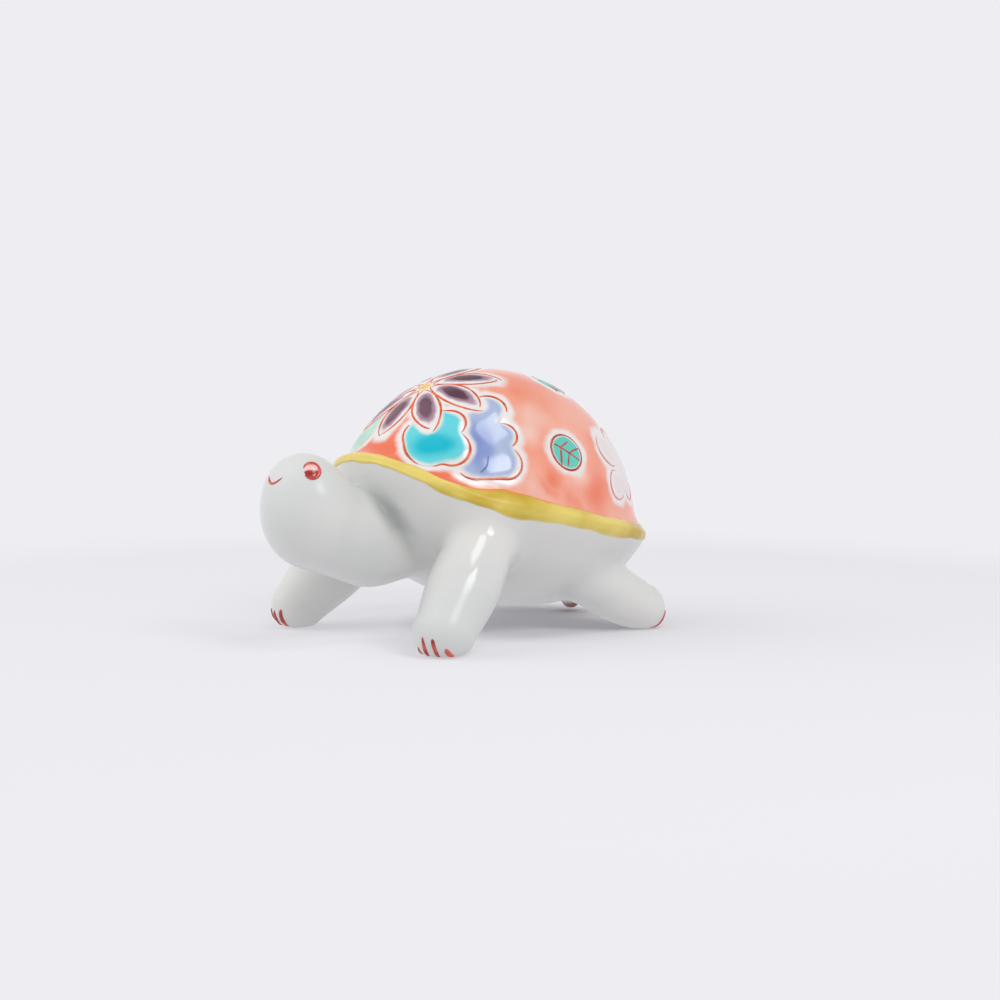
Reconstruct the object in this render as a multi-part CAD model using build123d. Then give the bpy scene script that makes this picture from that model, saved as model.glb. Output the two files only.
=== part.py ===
from build123d import *

import math
import os

# A porcelain turtle that stands on its four soles at z = 0. Its head points to -Y and its left side to +X.
# It is cast as a carapace, a belly, a head with its neck, four legs and a tail, which are stuck together
# with thin layers of slip. Raised enamel motifs, a rim band, eyes, mouth and claws lie on the glaze.
# All lengths are in millimetres and all angles in degrees.

# Carapace: a hollow dome, cut off along a sloping rim that turns up over the neck and flares to a brim.
shell_half_width = 29.5
shell_half_length = 36.0
shell_half_height = 36.5
shell_centre_y = 8.6
shell_centre_z = 20.3
shell_wall = 3.0
rim_above_centre = 6.0
rim_slope = 11.7
rim_bend_ahead = 18.0
front_lift = 5.3
front_lift_length = 15.5
brim_reach = 2.5
brim_height = 2.4

# Belly: a hollow bowl under the rim, tilted down to the rear, with a vent hole underneath.
belly_inset = 0.1
belly_extra_length = 0.3
belly_half_depth = 21.2
belly_behind_shell = 2.1
belly_above_shell = 6.0
belly_tilt = 14.6
belly_wall = 3.0
vent_radius = 2.5
vent_behind_belly = 2.0

# Slip: the layer that sticks two cast pieces together.
slip_thickness = 0.4

# Head and neck: an egg-shaped head on a thick neck that rises out of the belly.
neck_root_shares = (0.0, -0.94, -0.27)
neck_root_radius = 9.2
neck_reach = 12.4
neck_rise = 5.3
throat_radius = 10.1
head_ahead = 3.0
head_above = 3.3
head_half_width = 9.7
head_half_length = 8.6
head_half_height = 10.8
head_tilt = 4.5

# Legs: tapered limbs that splay outwards and end in round feet with flat soles.
shoulder_shares = (0.704, -0.553, -0.264)
shoulder_radius = 7.3
front_foot_out = 4.7
front_foot_ahead = 13.6
front_foot_radius = 6.7
front_sole_radius = 4.5
hip_shares = (0.68, 0.274, -0.651)
hip_radius = 5.8
rear_foot_out = 4.6
rear_foot_behind = 12.0
rear_foot_radius = 5.4
rear_sole_radius = 3.0

# Tail: a short stub under the rear of the belly, bent down to the turtle's right.
tail_root_shares = (0.0, 0.58, -0.80)
tail_root_radius = 3.6
tail_side = 5.5
tail_behind = 8.6
tail_drop = 6.2
tail_tip_radius = 1.6

# Enamels on the carapace: how far they stand proud, and how deep their outlines reach for the cut.
enamel_thickness = 0.35
outline_reach = 8.0
motif_gap = 0.5

# Chrysanthemum on the front of the dome: long petals round a small heart.
flower_azimuth = -3.0
flower_elevation = 65.0
flower_petals = 8
flower_turn = 5.0
petal_start = 4.0
petal_length = 10.0
petal_width = 4.6
flower_heart_radius = 2.2

# Five-lobed blossoms: a ring of round lobes joined in the middle.
blossom_lobes = 5
lobe_place_share = 0.55
lobe_radius_share = 0.45
blossom_middle_share = 0.5
front_blossom_radius = 6.6
side_blossom_radius = 8.6
rear_blossom_radius = 6.4
blossom_places = {
    "turquoise_blossom": (front_blossom_radius, 34.0, 36.0, 18.0),
    "lavender_blossom": (side_blossom_radius, 63.0, 38.0, 40.0),
    "pale_blossom": (rear_blossom_radius, 131.0, 26.0, 0.0),
    "green_blossom": (front_blossom_radius, -34.0, 36.0, 54.0),
    "right_lavender_blossom": (side_blossom_radius, -63.0, 38.0, 32.0),
    "right_pale_blossom": (rear_blossom_radius, -131.0, 26.0, 0.0),
}

# Leaf roundels: plain round fields.
roundel_radius = 4.0
roundel_places = {
    "left_leaf_roundel": (92.5, 31.6),
    "right_leaf_roundel": (-92.5, 31.6),
    "top_leaf_roundel": (140.0, 63.5),
}

# Eyes and mouth: raised dots and a smiling line on the upper half of the head.
eye_azimuth = 64.0
eye_elevation = 45.0
eye_radius = 1.9
eye_thickness = 0.45
mouth_elevation = 31.0
mouth_half_width = 2.8
mouth_depth = 1.4
mouth_line_width = 0.6
line_thickness = 0.25

# Claws: four short strokes on each foot, spread round the foot from a middle direction.
claw_count = 4
claw_spread = 24.5
claw_width = 0.9
claw_length = 3.2
claw_height = 2.7
front_claw_middle = 13.0
rear_claw_middle = 140.0

# One overrun takes every cutting tool well clear of the figure.
cut_overrun = 20.0


def ellipsoid(centre, half_sizes, tilt=0.0):
    """An ellipsoid about a centre, with its rear end turned up by the tilt."""
    return Pos(*centre) * Rot(X=tilt) * scale(Sphere(1), by=half_sizes)


def round_cone(start, end, start_radius, end_radius):
    """The straight limb that wraps a ball at the start and a ball at the end."""
    axis = Vector(*end) - Vector(*start)
    lean = math.asin((start_radius - end_radius) / axis.length)
    profile_points = []
    for radius, height in ((start_radius, 0.0), (end_radius, axis.length)):
        profile_points.append((radius * math.cos(lean), height + radius * math.sin(lean)))
    start_middle = (lean - math.pi / 2) / 2
    end_middle = (lean + math.pi / 2) / 2
    start_arc = ThreePointArc(
        (0, -start_radius),
        (start_radius * math.cos(start_middle), start_radius * math.sin(start_middle)),
        profile_points[0],
    )
    side = Line(profile_points[0], profile_points[1])
    end_arc = ThreePointArc(
        profile_points[1],
        (end_radius * math.cos(end_middle), axis.length + end_radius * math.sin(end_middle)),
        (0, axis.length + end_radius),
    )
    axis_line = Line((0, axis.length + end_radius), (0, -start_radius))
    profile = Plane.XZ * make_face([start_arc, side, end_arc, axis_line])
    return Plane(origin=start, z_dir=axis.normalized()) * revolve(profile, Axis.Z)


def rim_height(y):
    """The height of the rim at a place along the figure."""
    slope_height = math.tan(math.radians(rim_slope)) * (shell_centre_y - y)
    lift_start = shell_centre_y - rim_bend_ahead
    lift_share = max(0.0, lift_start - y) / front_lift_length
    return shell_centre_z + rim_above_centre + slope_height + front_lift * lift_share**2


def above_rim(raised):
    """All the space above the rim line, moved up by a distance."""
    rear = shell_centre_y + shell_half_length + cut_overrun
    bend = shell_centre_y - rim_bend_ahead
    front = shell_centre_y - shell_half_length - brim_reach
    top = shell_centre_z + shell_half_height + cut_overrun
    middle = (bend + front) / 2
    tangent_height = rim_height(bend) + math.tan(math.radians(rim_slope)) * (bend - middle)
    bend_point = (bend, rim_height(bend) + raised)
    front_point = (front, rim_height(front) + raised)
    rear_point = (rear, rim_height(rear) + raised)
    outline = [
        Line(rear_point, bend_point),
        Bezier(bend_point, (middle, tangent_height + raised), front_point),
        Line(front_point, (front, top)),
        Line((front, top), (rear, top)),
        Line((rear, top), rear_point),
    ]
    half_width = shell_half_width + cut_overrun
    return extrude(Plane.YZ * make_face(outline), amount=half_width, both=True)


def dome(grown):
    """The carapace's ellipsoid, grown by a distance; its poles lie at the sides, clear of the motifs."""
    half_sizes = (shell_half_width + grown, shell_half_length + grown, shell_half_height + grown)
    return Pos(0, shell_centre_y, shell_centre_z) * scale(Rot(Y=90) * Sphere(1), by=half_sizes)


def belly_half_sizes(grown):
    """The belly's half width, half length and half depth, grown by a distance."""
    half_width = shell_half_width - belly_inset + grown
    half_length = shell_half_length + belly_extra_length + grown
    return (half_width, half_length, belly_half_depth + grown)


belly_centre = (0.0, shell_centre_y + belly_behind_shell, shell_centre_z + belly_above_shell)


def belly_form(grown):
    """The belly's ellipsoid, grown by a distance on every side."""
    return ellipsoid(belly_centre, belly_half_sizes(grown), -belly_tilt)


def belly_place(shares):
    """A place given as shares of the belly's half sizes from its centre."""
    half_sizes = belly_half_sizes(0)
    return tuple(belly_centre[i] + shares[i] * half_sizes[i] for i in range(len(shares)))


def surface_plane(centre, half_sizes, azimuth, elevation):
    """A plane that touches an ellipsoid; azimuth runs from the front to the left, elevation upwards."""
    around = math.radians(azimuth)
    upwards = math.radians(elevation)
    unit = (
        math.cos(upwards) * math.sin(around),
        -math.cos(upwards) * math.cos(around),
        math.sin(upwards),
    )
    point = [centre[i] + half_sizes[i] * unit[i] for i in range(len(unit))]
    normal = Vector(*[unit[i] / half_sizes[i] for i in range(len(unit))]).normalized()
    sideways = Vector(0, 0, 1).cross(normal)
    return Plane(origin=point, x_dir=sideways, z_dir=normal)


def dome_plane(azimuth, elevation):
    """A plane that touches the carapace."""
    half_sizes = (shell_half_width, shell_half_length, shell_half_height)
    return surface_plane((0, shell_centre_y, shell_centre_z), half_sizes, azimuth, elevation)


def dome_prism(outline, azimuth, elevation):
    """An outline on the carapace, as a prism that cuts through its surface."""
    return extrude(dome_plane(azimuth, elevation) * outline, amount=outline_reach, both=True)


def raised_enamel(prism):
    """The enamel that a prism marks out on the carapace, above the brim."""
    return (prism & dome(enamel_thickness) & above_rim(brim_height + motif_gap)) - dome(0)


def blossom_outline(radius, turn):
    """A ring of round lobes joined by a round middle."""
    outline = Circle(blossom_middle_share * radius)
    for location in PolarLocations(lobe_place_share * radius, blossom_lobes, turn):
        outline += location * Circle(lobe_radius_share * radius)
    return outline


def petal_outlines(grown):
    """The chrysanthemum's petals, each an ellipse, grown by a distance."""
    middle = petal_start + petal_length / 2
    places = PolarLocations(middle, flower_petals, flower_turn)
    petal = Ellipse(petal_length / 2 + grown, petal_width / 2 + grown)
    return Sketch() + [place * petal for place in places]


def make_carapace():
    """The hollow dome with its brim."""
    brim = (dome(brim_reach) & above_rim(0)) - above_rim(brim_height)
    outside = (dome(0) & above_rim(0)) + brim
    return outside - dome(-shell_wall)


def make_belly():
    """The hollow bowl, open at the rim, with its vent hole."""
    bowl = belly_form(0) - above_rim(-slip_thickness) - belly_form(-belly_wall)
    vent_place = (0, belly_centre[1] + vent_behind_belly, 0)
    upwards = (Align.CENTER, Align.CENTER, Align.MIN)
    return bowl - Pos(*vent_place) * Cylinder(vent_radius, belly_centre[2], align=upwards)


def make_rim_slip():
    """The ring of slip between the belly's edge and the rim."""
    layer = above_rim(-slip_thickness) - above_rim(0)
    ring = (belly_form(0) & dome(brim_reach)) & layer
    return ring - belly_form(-belly_wall) - dome(-shell_wall)


def make_rim_band():
    """The band of enamel round the brim."""
    band = (dome(brim_reach + enamel_thickness) & above_rim(0)) - above_rim(brim_height)
    return band - dome(brim_reach)


def stick_on(limb):
    """A limb cut to sit on the belly, and the slip that holds it there."""
    slip_outside = belly_form(slip_thickness)
    return limb - slip_outside, (limb & slip_outside) - belly_form(0)


neck_root = belly_place(neck_root_shares)
throat = (0.0, neck_root[1] - neck_reach, neck_root[2] + neck_rise)
head_centre = (0.0, throat[1] - head_ahead, throat[2] + head_above)


def head_form(grown):
    """The head's egg, grown by a distance."""
    half_sizes = (head_half_width + grown, head_half_length + grown, head_half_height + grown)
    return ellipsoid(head_centre, half_sizes, head_tilt)


def neck_form(grown):
    """The neck, grown by a distance."""
    return round_cone(neck_root, throat, neck_root_radius + grown, throat_radius + grown)


def head_line(outline, azimuth, elevation, thickness):
    """Raised paint on the head that follows an outline."""
    half_sizes = (head_half_width, head_half_length, head_half_height)
    plane = surface_plane(head_centre, half_sizes, azimuth, elevation)
    prism = extrude(plane * outline, amount=head_half_length / 2, both=True)
    raised = (prism & (head_form(thickness) + neck_form(thickness))) - head_form(0) - neck_form(0)
    return raised


def make_mouth():
    """A smiling line on the front of the head."""
    smile = ThreePointArc((-mouth_half_width, mouth_depth), (0, 0), (mouth_half_width, mouth_depth))
    return head_line(SlotArc(smile, mouth_line_width), 0.0, mouth_elevation, line_thickness)


def front_leg_ends():
    """The front left leg's shoulder, inside the belly, and the ball of its foot."""
    shoulder = belly_place(shoulder_shares)
    foot_height = math.sqrt(front_foot_radius**2 - front_sole_radius**2)
    return shoulder, (shoulder[0] + front_foot_out, shoulder[1] - front_foot_ahead, foot_height)


def rear_leg_ends():
    """The rear left leg's hip, inside the belly, and the ball of its foot."""
    hip = belly_place(hip_shares)
    foot_height = math.sqrt(rear_foot_radius**2 - rear_sole_radius**2)
    return hip, (hip[0] + rear_foot_out, hip[1] + rear_foot_behind, foot_height)


def above_floor(solid):
    """A solid cut off flat where it meets the floor."""
    size = shell_half_length + cut_overrun
    floor = Box(2 * size, 2 * size, cut_overrun, align=(Align.CENTER, Align.CENTER, Align.MAX))
    return solid - floor


def make_claws(ends, radii, middle):
    """Short upright strokes round the front of a foot."""
    foot = ends[1]
    leg = round_cone(*ends, *radii)
    skin = round_cone(*ends, *[radius + line_thickness for radius in radii])
    strokes = []
    for index in range(claw_count):
        around = math.radians(middle + (index - (claw_count - 1) / 2) * claw_spread)
        outwards = (math.sin(around), -math.cos(around), 0)
        plane = Plane(origin=(foot[0], foot[1], claw_height), x_dir=Vector(0, 0, 1), z_dir=outwards)
        stroke = extrude(plane * Ellipse(claw_length / 2, claw_width / 2), amount=cut_overrun)
        strokes.append((stroke & skin) - leg)
    return strokes


def make_tail():
    """The tail's stub before it is cut to the belly."""
    root = belly_place(tail_root_shares)
    tip = (root[0] - tail_side, root[1] + tail_behind, root[2] - tail_drop)
    return round_cone(root, tip, tail_root_radius, tail_tip_radius)


def make_enamels():
    """Every motif on the carapace, by name; a later motif stops short of an earlier one."""
    motifs = {}
    flower = (flower_azimuth, flower_elevation)
    petals = raised_enamel(dome_prism(petal_outlines(0), *flower))
    motifs["chrysanthemum_petals"] = petals.solids()
    heart = raised_enamel(dome_prism(Circle(flower_heart_radius), *flower))
    motifs["chrysanthemum_heart"] = heart
    taken = [dome_prism(petal_outlines(motif_gap), *flower)]
    for name, (radius, azimuth, elevation, turn) in blossom_places.items():
        blossom = raised_enamel(dome_prism(blossom_outline(radius, turn), azimuth, elevation))
        for prism in taken:
            blossom -= prism
        motifs[name] = blossom
        taken.append(dome_prism(blossom_outline(radius + motif_gap, turn), azimuth, elevation))
    for name, (azimuth, elevation) in roundel_places.items():
        motifs[name] = raised_enamel(dome_prism(Circle(roundel_radius), azimuth, elevation))
    return motifs


def make_nodes():
    """Every piece of the figure, by its node's name."""
    nodes = {
        "carapace": make_carapace(),
        "belly": make_belly(),
        "rim_slip_joint": make_rim_slip(),
        "rim_band": make_rim_band(),
    }
    nodes["head_and_neck"], nodes["neck_slip_joint"] = stick_on(head_form(0) + neck_form(0))
    legs = {
        "front": (front_leg_ends(), (shoulder_radius, front_foot_radius), front_claw_middle),
        "rear": (rear_leg_ends(), (hip_radius, rear_foot_radius), rear_claw_middle),
    }
    slips = []
    for end, (ends, radii, claw_middle) in legs.items():
        leg, slip = stick_on(above_floor(round_cone(*ends, *radii)))
        claws = make_claws(ends, radii, claw_middle)
        nodes[f"{end}_left_leg"] = leg
        nodes[f"{end}_right_leg"] = mirror(leg, about=Plane.YZ)
        nodes[f"{end}_left_claws"] = claws
        nodes[f"{end}_right_claws"] = [mirror(claw, about=Plane.YZ) for claw in claws]
        slips += [slip, mirror(slip, about=Plane.YZ)]
    nodes["leg_slip_joints"] = slips
    nodes["tail"], nodes["tail_slip_joint"] = stick_on(make_tail())
    nodes["left_eye"] = head_line(Circle(eye_radius), eye_azimuth, eye_elevation, eye_thickness)
    nodes["right_eye"] = head_line(Circle(eye_radius), -eye_azimuth, eye_elevation, eye_thickness)
    nodes["mouth_line"] = make_mouth()
    nodes.update(make_enamels())
    return nodes


def write_nodes(nodes):
    """Write each node to a file of its own."""
    os.makedirs("parts", exist_ok=True)
    for name, shape in nodes.items():
        solids = shape if isinstance(shape, list) else shape.solids()
        export_step(Compound(label=name, children=list(solids)), f"parts/{name}.step")


write_nodes(make_nodes())
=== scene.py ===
# %% [markdown]
# # A hand-painted porcelain turtle
#
# The figure is a small white-glazed casting: a domed carapace, a belly, an egg-shaped head and splayed
# legs. Flowers, a rim band, eyes, mouth and claws are painted over the glaze in thick, glossy enamels.
# The CAD frame holds the castings and their sizes. This lesson gives them their soft glazed skin and
# their painting.

# %% Load the frame
import math

import bpy
import numpy as np
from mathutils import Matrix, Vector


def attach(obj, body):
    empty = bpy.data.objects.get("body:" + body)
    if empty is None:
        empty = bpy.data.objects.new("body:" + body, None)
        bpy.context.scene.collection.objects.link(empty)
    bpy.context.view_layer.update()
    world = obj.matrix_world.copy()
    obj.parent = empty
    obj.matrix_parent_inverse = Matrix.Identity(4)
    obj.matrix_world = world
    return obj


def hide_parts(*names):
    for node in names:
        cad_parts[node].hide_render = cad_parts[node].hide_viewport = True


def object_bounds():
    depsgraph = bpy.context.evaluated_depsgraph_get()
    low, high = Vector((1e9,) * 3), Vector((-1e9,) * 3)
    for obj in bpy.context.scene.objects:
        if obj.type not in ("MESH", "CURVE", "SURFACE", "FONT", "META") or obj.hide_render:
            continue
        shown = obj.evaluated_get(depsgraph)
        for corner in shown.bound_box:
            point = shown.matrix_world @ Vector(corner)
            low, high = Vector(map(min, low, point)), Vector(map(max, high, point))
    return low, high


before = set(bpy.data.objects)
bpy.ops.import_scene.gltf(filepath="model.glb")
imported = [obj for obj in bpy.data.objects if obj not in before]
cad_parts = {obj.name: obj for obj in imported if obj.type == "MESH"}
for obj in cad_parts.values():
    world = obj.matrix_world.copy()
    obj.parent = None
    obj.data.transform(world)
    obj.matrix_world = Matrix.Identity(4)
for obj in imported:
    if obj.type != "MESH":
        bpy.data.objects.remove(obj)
cad_low, cad_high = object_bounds()
MM = 0.001
print("CAD box in mm", [round(side / MM, 1) for side in cad_high - cad_low])

# %% [markdown]
# ## The forms under the glaze
#
# Every surface of the figure follows a few ellipsoids and tapered limbs. Their sizes are the casting's
# own, in millimetres, and all later cells work from them, so that a flower laid on the dome really
# touches the dome.

# %% Sizes of the castings
SHELL_CENTRE = np.array((0.0, 8.9, 20.3))
SHELL_HALF = np.array((29.5, 36.0, 36.1))
RIM_ABOVE_CENTRE = 5.6
RIM_SLOPE = math.tan(math.radians(11.7))
RIM_BEND_AHEAD = 18.0
FRONT_LIFT = 5.7
FRONT_LIFT_LENGTH = 15.5
BRIM_REACH = 2.5
FLARE_HEIGHT = 5.5

BELLY_CENTRE = SHELL_CENTRE + (0.0, 1.8, 6.0)
BELLY_HALF = np.array((29.4, 36.3, 21.2))
BELLY_TILT = 14.6

NECK_ROOT = BELLY_CENTRE + BELLY_HALF * (0.0, -0.94, -0.27)
THROAT = NECK_ROOT + (0.0, -12.4, 5.3)
HEAD_CENTRE = THROAT + (0.0, -2.7, 3.1)
HEAD_HALF = np.array((9.7, 8.6, 10.8))
HEAD_TILT = -4.5
NECK_RADII = (9.2, 10.1)

FRONT_RADII = (6.9, 6.4)
FAR_FRONT_RADII = (8.4, 5.9)
FRONT_BULGE = 0.8
FRONT_SHOULDER = BELLY_CENTRE + BELLY_HALF * (0.704, -0.553, -0.264)
FRONT_FOOT = np.array((FRONT_SHOULDER[0] + 4.7, FRONT_SHOULDER[1] - 13.6, 4.96))
REAR_RADII = (5.8, 5.4)
REAR_BULGE = 0.4
REAR_HIP = BELLY_CENTRE + BELLY_HALF * (0.68, 0.274, -0.70)
REAR_FOOT = np.array((REAR_HIP[0] + 4.6, REAR_HIP[1] + 12.0, 4.49))

TAIL_RADII = (3.6, 2.0)
TAIL_ROOT = BELLY_CENTRE + BELLY_HALF * (0.0, 0.58, -0.80)
TAIL_TIP = TAIL_ROOT + (-5.5, 8.2, -6.9)


def rim_height(y):
    """Height of the carapace's edge at a place along the figure."""
    lift = np.maximum(0.0, SHELL_CENTRE[1] - RIM_BEND_AHEAD - y) / FRONT_LIFT_LENGTH
    return SHELL_CENTRE[2] + RIM_ABOVE_CENTRE + RIM_SLOPE * (SHELL_CENTRE[1] - y) + FRONT_LIFT * lift**2


def above_rim(points):
    """How high points are above the carapace's edge."""
    return points[..., 2] - rim_height(points[..., 1])


def mirrored(point):
    """The same place on the turtle's right side."""
    return point * (-1.0, 1.0, 1.0)


LIMBS = {
    "front_left_leg": (FRONT_SHOULDER, FRONT_FOOT, FRONT_RADII, FRONT_BULGE),
    "front_right_leg": (mirrored(FRONT_SHOULDER), mirrored(FRONT_FOOT), FAR_FRONT_RADII, FRONT_BULGE),
    "rear_left_leg": (REAR_HIP, REAR_FOOT, REAR_RADII, REAR_BULGE),
    "rear_right_leg": (mirrored(REAR_HIP), mirrored(REAR_FOOT), REAR_RADII, REAR_BULGE),
    "tail": (TAIL_ROOT, TAIL_TIP, TAIL_RADII, 0.0),
}
LEGS = [name for name in LIMBS if name.endswith("_leg")]
print("rim from", round(float(rim_height(-25.0)), 1), "to", round(float(rim_height(46.0)), 1), "mm high")

# %% [markdown]
# ## One continuous skin over separate castings
#
# On the real figure the limbs are stuck to the belly with slip, and the glaze runs over every joint, so
# there are soft hollows instead of sharp creases. A distance field gives this directly: each form says
# how far a point is from its surface, and a smooth minimum blends the distances. Sculpting or bevelled
# booleans could do it too, but the field also tells where two forms blend, which is where glaze pools
# and where the creases get a painted shade.

# %% Distances to the forms
HEAD_BLEND = 3.0
NECK_BLEND_HEIGHTS = (9.0, 15.0, 24.0)
NECK_BLENDS = (11.0, 10.0, 2.4)
FRONT_LEG_BLEND = 4.8
REAR_LEG_BLEND = 3.5
LIMB_BLENDS = {
    "front_left_leg": FRONT_LEG_BLEND,
    "rear_left_leg": REAR_LEG_BLEND,
    "front_right_leg": FRONT_LEG_BLEND,
    "rear_right_leg": REAR_LEG_BLEND,
    "tail": 2.0,
}
SOLE_BLEND = 1.2
COLLAR_BLEND = 3.5
COLLAR_REACH = 2.0
COLLAR_SLOPE = 0.45
COLLAR_BEND = 0.06
TUCK_HEIGHTS = (-6.0, -0.6, 0.0, 1.5)
TUCK_REACHES = (80.0, 1.8, 1.3, -0.8)
TUCK_TOP = 1.2
TINY = 1e-9


def ellipsoid_distance(points, centre, half_sizes, tilt=0.0):
    """Approximate distance to an ellipsoid whose rear end is turned down by the tilt."""
    local = points - centre
    turn = math.radians(tilt)
    along = local[:, 1] * math.cos(turn) - local[:, 2] * math.sin(turn)
    above = local[:, 1] * math.sin(turn) + local[:, 2] * math.cos(turn)
    local = np.stack((local[:, 0], along, above), axis=1) / half_sizes
    size = np.linalg.norm(local, axis=1)
    slope = np.linalg.norm(local / half_sizes, axis=1) + TINY
    return size * (size - 1.0) / slope


def limb_distance(points, start, end, radii, bulge=0.0):
    """Approximate distance to a limb that tapers from one ball to another and swells between them."""
    axis = end - start
    share = np.clip((points - start) @ axis / (axis @ axis), 0.0, 1.0)
    nearest = start + share[:, None] * axis
    swelling = bulge * (4.0 * share * (1.0 - share)) ** 2
    radius = radii[0] + (radii[1] - radii[0]) * share + swelling
    return np.linalg.norm(points - nearest, axis=1) - radius


def blend(first, second, softness):
    """Smooth minimum of two distances."""
    share = np.clip(0.5 + 0.5 * (second - first) / softness, 0.0, 1.0)
    return second + (first - second) * share - softness * share * (1.0 - share)


def form_distances(points):
    """Distances to every casting below the rim, by the name of its node."""
    belly = ellipsoid_distance(points, BELLY_CENTRE, BELLY_HALF, BELLY_TILT)
    below = np.maximum(0.0, -above_rim(points))
    reach = COLLAR_REACH - COLLAR_SLOPE * below - COLLAR_BEND * below**2
    collar = ellipsoid_distance(points, SHELL_CENTRE, SHELL_HALF) - reach
    head = ellipsoid_distance(points, HEAD_CENTRE, HEAD_HALF, HEAD_TILT)
    neck = limb_distance(points, NECK_ROOT, THROAT, NECK_RADII)
    forms = {"belly": blend(belly, collar, COLLAR_BLEND), "head_and_neck": blend(head, neck, HEAD_BLEND)}
    for name, limb in LIMBS.items():
        forms[name] = limb_distance(points, *limb)
    return forms


def skin_distance(points):
    """Distance to the whole glazed skin, which tucks in behind the carapace's lip at its top."""
    forms = form_distances(points)
    neck_blend = np.interp(points[:, 2], NECK_BLEND_HEIGHTS, NECK_BLENDS)
    skin = blend(forms["belly"], forms["head_and_neck"], neck_blend)
    for name, softness in LIMB_BLENDS.items():
        skin = blend(skin, forms[name], softness)
    skin = -blend(-skin, points[:, 2], SOLE_BLEND)
    height = above_rim(points)
    shell = ellipsoid_distance(points, SHELL_CENTRE, SHELL_HALF)
    skin = np.maximum(skin, shell - np.interp(height, TUCK_HEIGHTS, TUCK_REACHES))
    return np.maximum(skin, height - TUCK_TOP)


# %% [markdown]
# ## From a field to a mesh
#
# A surface net walks a grid over the field, puts one vertex in each cell that the surface crosses, and
# joins neighbouring cells with quads. A few Newton steps then slide every vertex exactly onto the
# surface. Blender's voxel remesh works alike, but it can't label which casting each face belongs to.

# %% Surface net
GRID_STEP = 0.5
GRID_MARGIN = 2.0
SLOPE_STEP = 0.02
LEAST_STEEPNESS = 0.2


def sample_grid(low, counts):
    """The field's values on a grid, one slice of X at a time."""
    axes = [low[i] + GRID_STEP * np.arange(counts[i]) for i in range(3)]
    values = np.empty(counts)
    across, upwards = np.meshgrid(axes[1], axes[2], indexing="ij")
    slice_points = np.stack((np.zeros(across.size), across.ravel(), upwards.ravel()), axis=1)
    for index, x in enumerate(axes[0]):
        slice_points[:, 0] = x
        values[index] = skin_distance(slice_points).reshape(counts[1], counts[2])
    return values


def net_vertices(values, inside, low):
    """The numbers of the grid cells that the surface crosses, and a vertex in each of them."""
    corners = np.array([(i, j, k) for i in (0, 1) for j in (0, 1) for k in (0, 1)])
    spans = [slice(0, -1), slice(1, None)]
    full = np.zeros(np.array(values.shape) - 1, dtype=int)
    for i, j, k in corners:
        full += inside[spans[i], spans[j], spans[k]]
    cells = np.argwhere((full > 0) & (full < len(corners)))
    total = np.zeros(cells.shape)
    crossings = np.zeros(len(cells))
    for first in corners:
        for axis in np.nonzero(first == 0)[0]:
            second = first.copy()
            second[axis] = 1
            start = values[tuple((cells + first).T)]
            end = values[tuple((cells + second).T)]
            crossed = (start < 0.0) != (end < 0.0)
            share = start[crossed] / (start[crossed] - end[crossed])
            total[crossed] += first + share[:, None] * (second - first)
            crossings[crossed] += 1
    number = np.full(full.shape, -1)
    number[tuple(cells.T)] = np.arange(len(cells))
    return number, low + GRID_STEP * (cells + total / crossings[:, None])


def surface_net(values, low):
    """Vertices and quads of the surface where the values change sign."""
    inside = values < 0.0
    number, vertices = net_vertices(values, inside, low)
    quads = []
    for axis in range(3):
        lower = [slice(None)] * 3
        upper = [slice(None)] * 3
        lower[axis] = slice(0, -1)
        upper[axis] = slice(1, None)
        edges = np.argwhere(inside[tuple(lower)] != inside[tuple(upper)])
        outwards = inside[tuple(edges.T)]
        side = np.eye(3, dtype=int)[(axis + 1) % 3]
        height = np.eye(3, dtype=int)[(axis + 2) % 3]
        ring = [number[tuple((edges - step).T)] for step in (side + height, height, 0 * side, side)]
        ring = np.stack(ring, axis=1)
        ring[~outwards] = ring[~outwards][:, ::-1]
        quads.append(ring)
    return vertices, np.concatenate(quads)


def unit(vectors):
    """Directions of length 1."""
    return vectors / np.maximum(np.linalg.norm(vectors, axis=-1, keepdims=True), TINY)


def skin_slopes(points):
    """The field's gradient by small steps along each axis."""
    slopes = np.empty(points.shape)
    for axis in range(3):
        shift = SLOPE_STEP * np.eye(3)[axis]
        slopes[:, axis] = (skin_distance(points + shift) - skin_distance(points - shift)) / (2 * SLOPE_STEP)
    return slopes


def slide(points, height=0.0, rounds=3, limit=GRID_STEP):
    """Slide points to a height above the skin, by Newton steps up to a limit."""
    for _ in range(rounds):
        slopes = skin_slopes(points)
        steepness = np.maximum((slopes**2).sum(axis=1), LEAST_STEEPNESS)
        move = (skin_distance(points) - height) / steepness
        points = points - np.clip(move, -limit, limit)[:, None] * slopes
    return points


box_low = np.array(cad_low) / MM - GRID_MARGIN
box_high = np.array(cad_high) / MM + GRID_MARGIN
box_high[2] = float(rim_height(SHELL_CENTRE[1] - SHELL_HALF[1])) + GRID_MARGIN
grid_counts = np.ceil((box_high - box_low) / GRID_STEP).astype(int) + 1
rough_vertices, skin_quads = surface_net(sample_grid(box_low, grid_counts), box_low)
skin_vertices = slide(rough_vertices)
skin_normals = unit(skin_slopes(skin_vertices))
print("skin:", len(skin_vertices), "vertices,", len(skin_quads), "faces")

# %% [markdown]
# ## Cut the skin into its castings
#
# Each face belongs to the casting that it is nearest to. The castings keep the very same edge vertices
# and normals, so the glaze shows no seam, while each piece is still a closed mesh of its own: a fan of
# triangles closes the opening where it was stuck on.


# %% Plain meshes
def new_mesh(name, vertices, faces, edges=()):
    """A bare mesh, from places in millimetres."""
    mesh = bpy.data.meshes.new(name)
    mesh.from_pydata((np.asarray(vertices) * MM).tolist(), edges, [tuple(face) for face in faces])
    return mesh


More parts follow.
